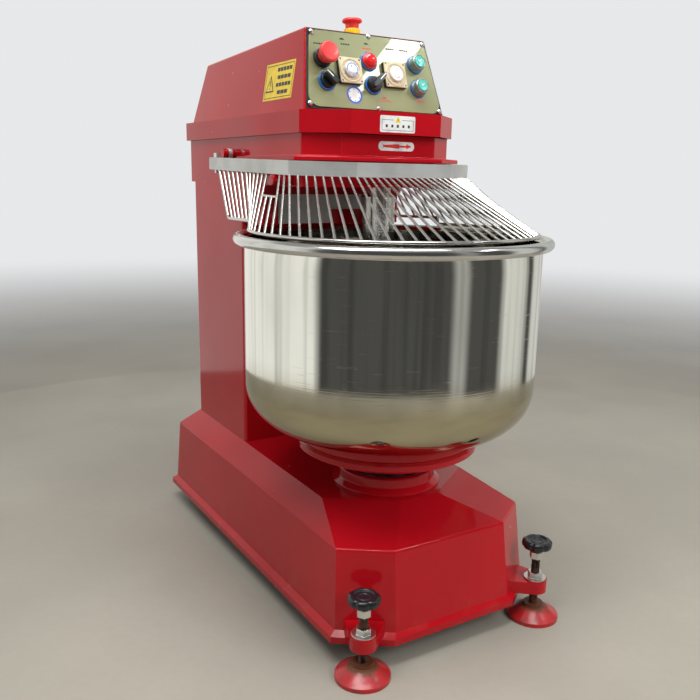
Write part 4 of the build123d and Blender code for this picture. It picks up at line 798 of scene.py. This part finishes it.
panel_screw_heads()
collars()
bezels()
push_button("start_cap", START, "start_button", "start_button")
push_button("halt_cap", HALT, "halt_button", "halt_button")
mushroom("panel_stop_head", on_panel(STOP), [(0, 0.0062), (0.0136, 0.0062), (0.0136, 0.0180),
                                             (0.0168, 0.0200), (0.0187, 0.0265), (0.0190, 0.0300),
                                             (0.0170, 0.0336), (0.0, 0.0342)],
         "panel_stop", "panel_stop_button")
lamp()
selector()
lever()
timers()
dial("left_dial_drum", TIMERS[0], "left_dial", "left_timer_dial", 0.0144, True)
dial("right_dial_drum", TIMERS[1], "right_dial", "right_timer_dial", 0.0150, False)
printed_marks()

# ---------------------------------------------------------------- stop button on the lid
LID_OUT = -Vector(joint("top_stop_press")["axis"])
LID_EDGE_Y, LID_EDGE_Z = -0.074, 1.083      # front edge of the lid
LID_FALL = 19 / 472                          # the lid falls this much towards the back
LID_STOP_X, LID_STOP_Y = 0.004, -0.014
LID_PLACE = placed((LID_STOP_X, LID_STOP_Y, LID_EDGE_Z - (LID_STOP_Y - LID_EDGE_Y) * LID_FALL), LID_OUT)


def lid_collar():
    """Yellow collar with upright ribs under the lid's stop button."""
    def ribbed(angle, radius, height):
        return radius - (0.0008 * (cos(24 * angle) > 0.1) if 0.003 < height < 0.0175 else 0)

    profile = [(0.0135, 0), (0.0170, 0), (0.0170, 0.0028), (0.0158, 0.0034), (0.0158, 0.0060),
               (0.0158, 0.0110), (0.0158, 0.0172), (0.0148, 0.0190), (0.0135, 0.0190)]
    lathe("lid_collar", LID_PLACE, profile, "yellow_plastic", "machine", "yellow_plastic",
          ["top_stop_base"], around=192, shape=ribbed)


lid_collar()
mushroom("lid_stop_head", LID_PLACE, [(0, 0.0120), (0.0130, 0.0120), (0.0131, 0.0272),
                                      (0.0145, 0.0296), (0.0184, 0.0312), (0.0196, 0.0330),
                                      (0.0190, 0.0362), (0.0165, 0.0380), (0.0, 0.0384)],
         "top_stop", "top_stop_button", marks=True)


# ---------------------------------------------------------------- labels, with no lettering


def side_label():
    """Yellow warning rectangle on the hood's left side: a black frame, a triangle and bars."""
    foot_x, top_x = -0.1544, -0.1313
    foot_z, top_z = 0.9365, 1.0796
    lean = Vector((top_x - foot_x, 0, top_z - foot_z)).normalized()
    along = Vector((0, -1, 0))
    out = along.cross(lean)
    place = Matrix((along, lean, out)).transposed().to_4x4()
    middle_z = 0.9955
    share = (middle_z - foot_z) / (top_z - foot_z)
    place.translation = Vector((foot_x + (top_x - foot_x) * share, 0.003, middle_z)) + out * 0.0001
    mesh = bmesh.new()
    add_slab(mesh, place, rounded_box(0.122, 0.069, 0.002), 0, 0.0003)
    for width, height, shift in ((0.114, 0.0012, (0, 0.030)), (0.114, 0.0012, (0, -0.030)),
                                 (0.0012, 0.061, (-0.0565, 0)), (0.0012, 0.061, (0.0565, 0))):
        add_slab(mesh, place, rounded_box(width, height, 0.0003, 2, shift), 0.0003, 0.00045,
                 material=1)
    triangle = [(-0.053, -0.019), (-0.017, -0.019), (-0.035, 0.013)]
    inner = [(-0.0488, -0.0165), (-0.0212, -0.0165), (-0.035, 0.0075)]
    add_slab(mesh, place, triangle, 0.0003, 0.0005, material=1)
    add_slab(mesh, place, inner, 0.0005, 0.0006)
    add_slab(mesh, place, [(-0.0362, -0.0085), (-0.0338, -0.0085), (-0.0330, 0.0020),
                           (-0.0370, 0.0020)], 0.0006, 0.0007, material=1)
    add_lathe(mesh, place @ Matrix.Translation((-0.035, -0.0125, 0)),
              [(0.0016, 0.0006), (0.0016, 0.0007), (0, 0.0007)], 20, material=1)
    for row, (count, width) in enumerate(((5, 0.0105), (4, 0.0120), (5, 0.0105), (3, 0.0130))):
        span = count * (width + 0.0018)
        for k in range(count):
            spot = (0.020 - span / 2 + (width + 0.0018) * (k + 0.5), 0.021 - 0.014 * row)
            add_slab(mesh, place, rounded_box(width, 0.0070, 0.0008, 2, spot), 0.0003, 0.00045,
                     material=1)
    piece("side_label", mesh, ["mark_yellow", "mark_black"], "machine")


def front_place(y, x, z):
    """Matrix on a face that looks towards the operator: X to the right, Y up."""
    place = Matrix(((1, 0, 0), (0, 0, -1), (0, 1, 0))).to_4x4()
    place.translation = (x, y - 0.0001, z)
    return place


def skirt_label():
    """White notice on the skirt, with a small yellow triangle over a line."""
    place = front_place(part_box("hood")[0].y, 0.0, 0.9155)
    mesh = bmesh.new()
    add_slab(mesh, place, rounded_box(0.076, 0.029, 0.003), 0, 0.0004)
    for width, height, shift in ((0.068, 0.0007, (0, -0.0110)), (0.0007, 0.0180, (-0.034, -0.002)),
                                 (0.0007, 0.0180, (0.034, -0.002)), (0.025, 0.0007, (-0.0215, 0.007)),
                                 (0.025, 0.0007, (0.0215, 0.007))):
        add_slab(mesh, place, rounded_box(width, height, 0.0002, 2, shift), 0.0004, 0.0005,
                 material=1)
    add_slab(mesh, place, [(-0.0062, 0.0030), (0.0062, 0.0030), (0.0, 0.0130)], 0.0004, 0.0006,
             material=2)
    add_slab(mesh, place, rounded_box(0.0010, 0.0042, 0.0003, 2, (0, 0.0073)), 0.0006, 0.0007,
             material=1)
    for k in range(5):
        add_slab(mesh, place, rounded_box(0.0044, 0.0050, 0.0006, 2, (-0.0240 + 0.012 * k, -0.0035)),
                 0.0004, 0.0005, material=1)
    piece("skirt_label", mesh, ["mark_white", "mark_black", "mark_yellow"], "machine")


def arrow_label():
    """White rounded label with a red arrow that points along the bowl's turn."""
    place = front_place(-0.160, 0.0155, 0.878)
    mesh = bmesh.new()
    add_slab(mesh, place, rounded_box(0.079, 0.0165, 0.0075), 0, 0.0004)
    arrow = [(-0.032, -0.0044), (-0.028, -0.0020), (0.006, -0.0042), (0.006, -0.0018),
             (0.022, -0.0018), (0.022, -0.0044), (0.034, 0.0), (0.022, 0.0044), (0.022, 0.0018),
             (0.006, 0.0018), (0.006, 0.0042), (-0.028, 0.0020), (-0.032, 0.0044), (-0.029, 0.0)]
    add_slab(mesh, place, arrow, 0.0004, 0.0006, material=1)
    piece("arrow_label", mesh, ["mark_white", "mark_red"], "machine")


side_label()
skirt_label()
arrow_label()


# ---------------------------------------------------------------- floor, light and camera
FLOOR_HALF = 14


def stage_object(name, mesh, material):
    """Turns a bmesh into an object that isn't part of the machine."""
    data = bpy.data.meshes.new(name)
    mesh.to_mesh(data)
    mesh.free()
    data.materials.append(material)
    made = bpy.data.objects.new(name, data)
    scene.collection.objects.link(made)
    return made


def stage_floor():
    """Pale floor that fades into the background far from the machine."""
    made, tree, surface, place = shader("pale_floor", Roughness=0.7)
    tone = steps(tree, noise(tree, place, 1.6, 5), 0.35, 0.7)
    fine = noise(tree, place, 60, 4)
    pale = mix(tree, tone, (0.40, 0.37, 0.31), (0.34, 0.315, 0.265))
    pale = mix(tree, math_node(tree, "MULTIPLY", fine, 0.25), pale, (0.27, 0.245, 0.20))
    reach = node(tree, "ShaderNodeVectorMath", {0: place}, operation="LENGTH").outputs["Value"]
    far = steps(tree, reach, 1.6, 6.5)
    surface.inputs["Emission Color"].default_value = (0.76, 0.77, 0.78, 1.0)
    connect(tree, surface, Base_Color=mix(tree, far, pale, (0.0, 0.0, 0.0)), Emission_Strength=far,
            Normal=bump(tree, fine, 0.1, 0.002))
    mesh = bmesh.new()
    bmesh.ops.create_grid(mesh, x_segments=2, y_segments=2, size=FLOOR_HALF)
    stage_object("floor", mesh, made)


# Plain cards round the machine, seen only in its polished surfaces: the bearing of a card's middle
# from the front towards the left and half its width, both in degrees, then its brightness
CARDS = {"left_wall": (135, 50, 0.85), "back_wall": (-140, 50, 0.6), "right_wall": (-65, 15, 0.65),
         "strip": (-15, 5, 0.4)}
CARD_EDGE = 4.0            # half the width of a card's soft edge, in degrees
HALL_GLOW = 0.08           # brightness between the cards
ROOM_R, ROOM_HIGH = 1.95, 2.3


def room_material():
    """Pale cards in a dim room, with faint upright streaks."""
    made = bpy.data.materials.new("room_cards")
    made.use_nodes = True
    tree = made.node_tree
    tree.nodes.remove(tree.nodes["Principled BSDF"])
    place = node(tree, "ShaderNodeTexCoord").outputs["Object"]
    parts = node(tree, "ShaderNodeSeparateXYZ", {0: place})
    left = math_node(tree, "MULTIPLY", parts.outputs["X"], -1.0)
    front = math_node(tree, "SUBTRACT", BOWL_Y, parts.outputs["Y"])
    bearing = math_node(tree, "MULTIPLY", math_node(tree, "ARCTAN2", left, front), 180 / pi)
    level = HALL_GLOW
    for middle, half, brightness in CARDS.values():
        away = math_node(tree, "ABSOLUTE", math_node(tree, "SUBTRACT", bearing, middle))
        inside = steps(tree, away, half + CARD_EDGE, half - CARD_EDGE)
        level = math_node(tree, "ADD", math_node(tree, "MULTIPLY", inside, brightness), level)
    upright_noise = noise(tree, place, 5, 3, (1, 1, 0.08))
    streak = math_node(tree, "MULTIPLY", steps(tree, upright_noise, 0.45, 0.7), 0.3)
    level = math_node(tree, "MULTIPLY", level, math_node(tree, "SUBTRACT", 1.0, streak))
    glow = node(tree, "ShaderNodeEmission", {"Color": (1.0, 1.0, 0.95, 1.0), "Strength": level})
    tree.links.new(glow.outputs[0], tree.nodes["Material Output"].inputs["Surface"])
    return made


def room_cards():
    """Ring of cards round the machine, seen in polished surfaces only."""
    mesh = bmesh.new()
    add_lathe(mesh, upright(0, BOWL_Y), [(ROOM_R, 0.001), (ROOM_R, ROOM_HIGH)], 120)
    cards = stage_object("room_cards", mesh, room_material())
    cards.visible_camera = False
    cards.visible_shadow = False
    cards.visible_diffuse = False


def surroundings():
    """Soft pale world."""
    world = bpy.data.worlds.new("room")
    scene.world = world
    world.use_nodes = True
    tree = world.node_tree
    background = tree.nodes["Background"]
    seen = node(tree, "ShaderNodeLightPath").outputs["Is Camera Ray"]
    shade = mix(tree, seen, (0.34, 0.345, 0.35), (0.80, 0.81, 0.82))
    tree.links.new(shade, background.inputs["Color"])
    background.inputs["Strength"].default_value = 1.0


def soft_light(name, place, target, size, power, along=(1, 0, 0), mirrored=True):
    """Rectangular light at place, facing target, its long side near the direction along."""
    data = bpy.data.lights.new(name, "AREA")
    data.shape = "RECTANGLE"
    data.size, data.size_y = size
    data.energy = power
    made = bpy.data.objects.new(name, data)
    back = (Vector(place) - Vector(target)).normalized()
    across = Vector(along) - back * back.dot(Vector(along))
    across.normalize()
    made.matrix_world = (Matrix.Translation(place)
                         @ Matrix((across, back.cross(across), back)).transposed().to_4x4())
    made.visible_glossy = mirrored
    scene.collection.objects.link(made)


CAMERA_AT = (-0.8278, -1.3985, 0.8274)
CAMERA_YAW, CAMERA_PITCH, CAMERA_ROLL = radians(31.227), radians(12.655), radians(1.006)
CAMERA_LENS = 40.37


def camera():
    """Camera at the operator's left, a little above the bowl's rim, level but for a slight roll."""
    data = bpy.data.cameras.new("camera")
    data.lens = CAMERA_LENS
    data.sensor_width = 36
    ahead = Vector((sin(CAMERA_YAW) * cos(CAMERA_PITCH), cos(CAMERA_YAW) * cos(CAMERA_PITCH),
                    -sin(CAMERA_PITCH)))
    right = ahead.cross(Vector((0, 0, 1))).normalized()
    up = right.cross(ahead)
    across = right * cos(CAMERA_ROLL) + up * sin(CAMERA_ROLL)
    above = up * cos(CAMERA_ROLL) - right * sin(CAMERA_ROLL)
    made = bpy.data.objects.new("camera", data)
    turned = Matrix((across, above, -ahead)).transposed().to_4x4()
    made.matrix_world = Matrix.Translation(CAMERA_AT) @ turned
    scene.collection.objects.link(made)
    scene.camera = made


stage_floor()
room_cards()
surroundings()
soft_light("overhead", (-0.5, -0.5, 2.9), (0, 0, 0.5), (2.4, 1.0), 68)
soft_light("left_wall", (-2.3, 0.4, 1.7), (0, -0.1, 0.6), (1.6, 1.8), 2.5, (0, 1, 0), False)
soft_light("front_fill", (0.9, -2.6, 1.9), (0, -0.1, 0.6), (1.4, 1.2), 42, (1, 0, 0), False)
soft_light("panel_tube", (1.40, -1.54, 2.42), (0.064, -0.086, 1.056), (1.0, 0.13), 7,
           (0.453, 0.795, 0.401))
camera()
scene.view_settings.view_transform = "Standard"
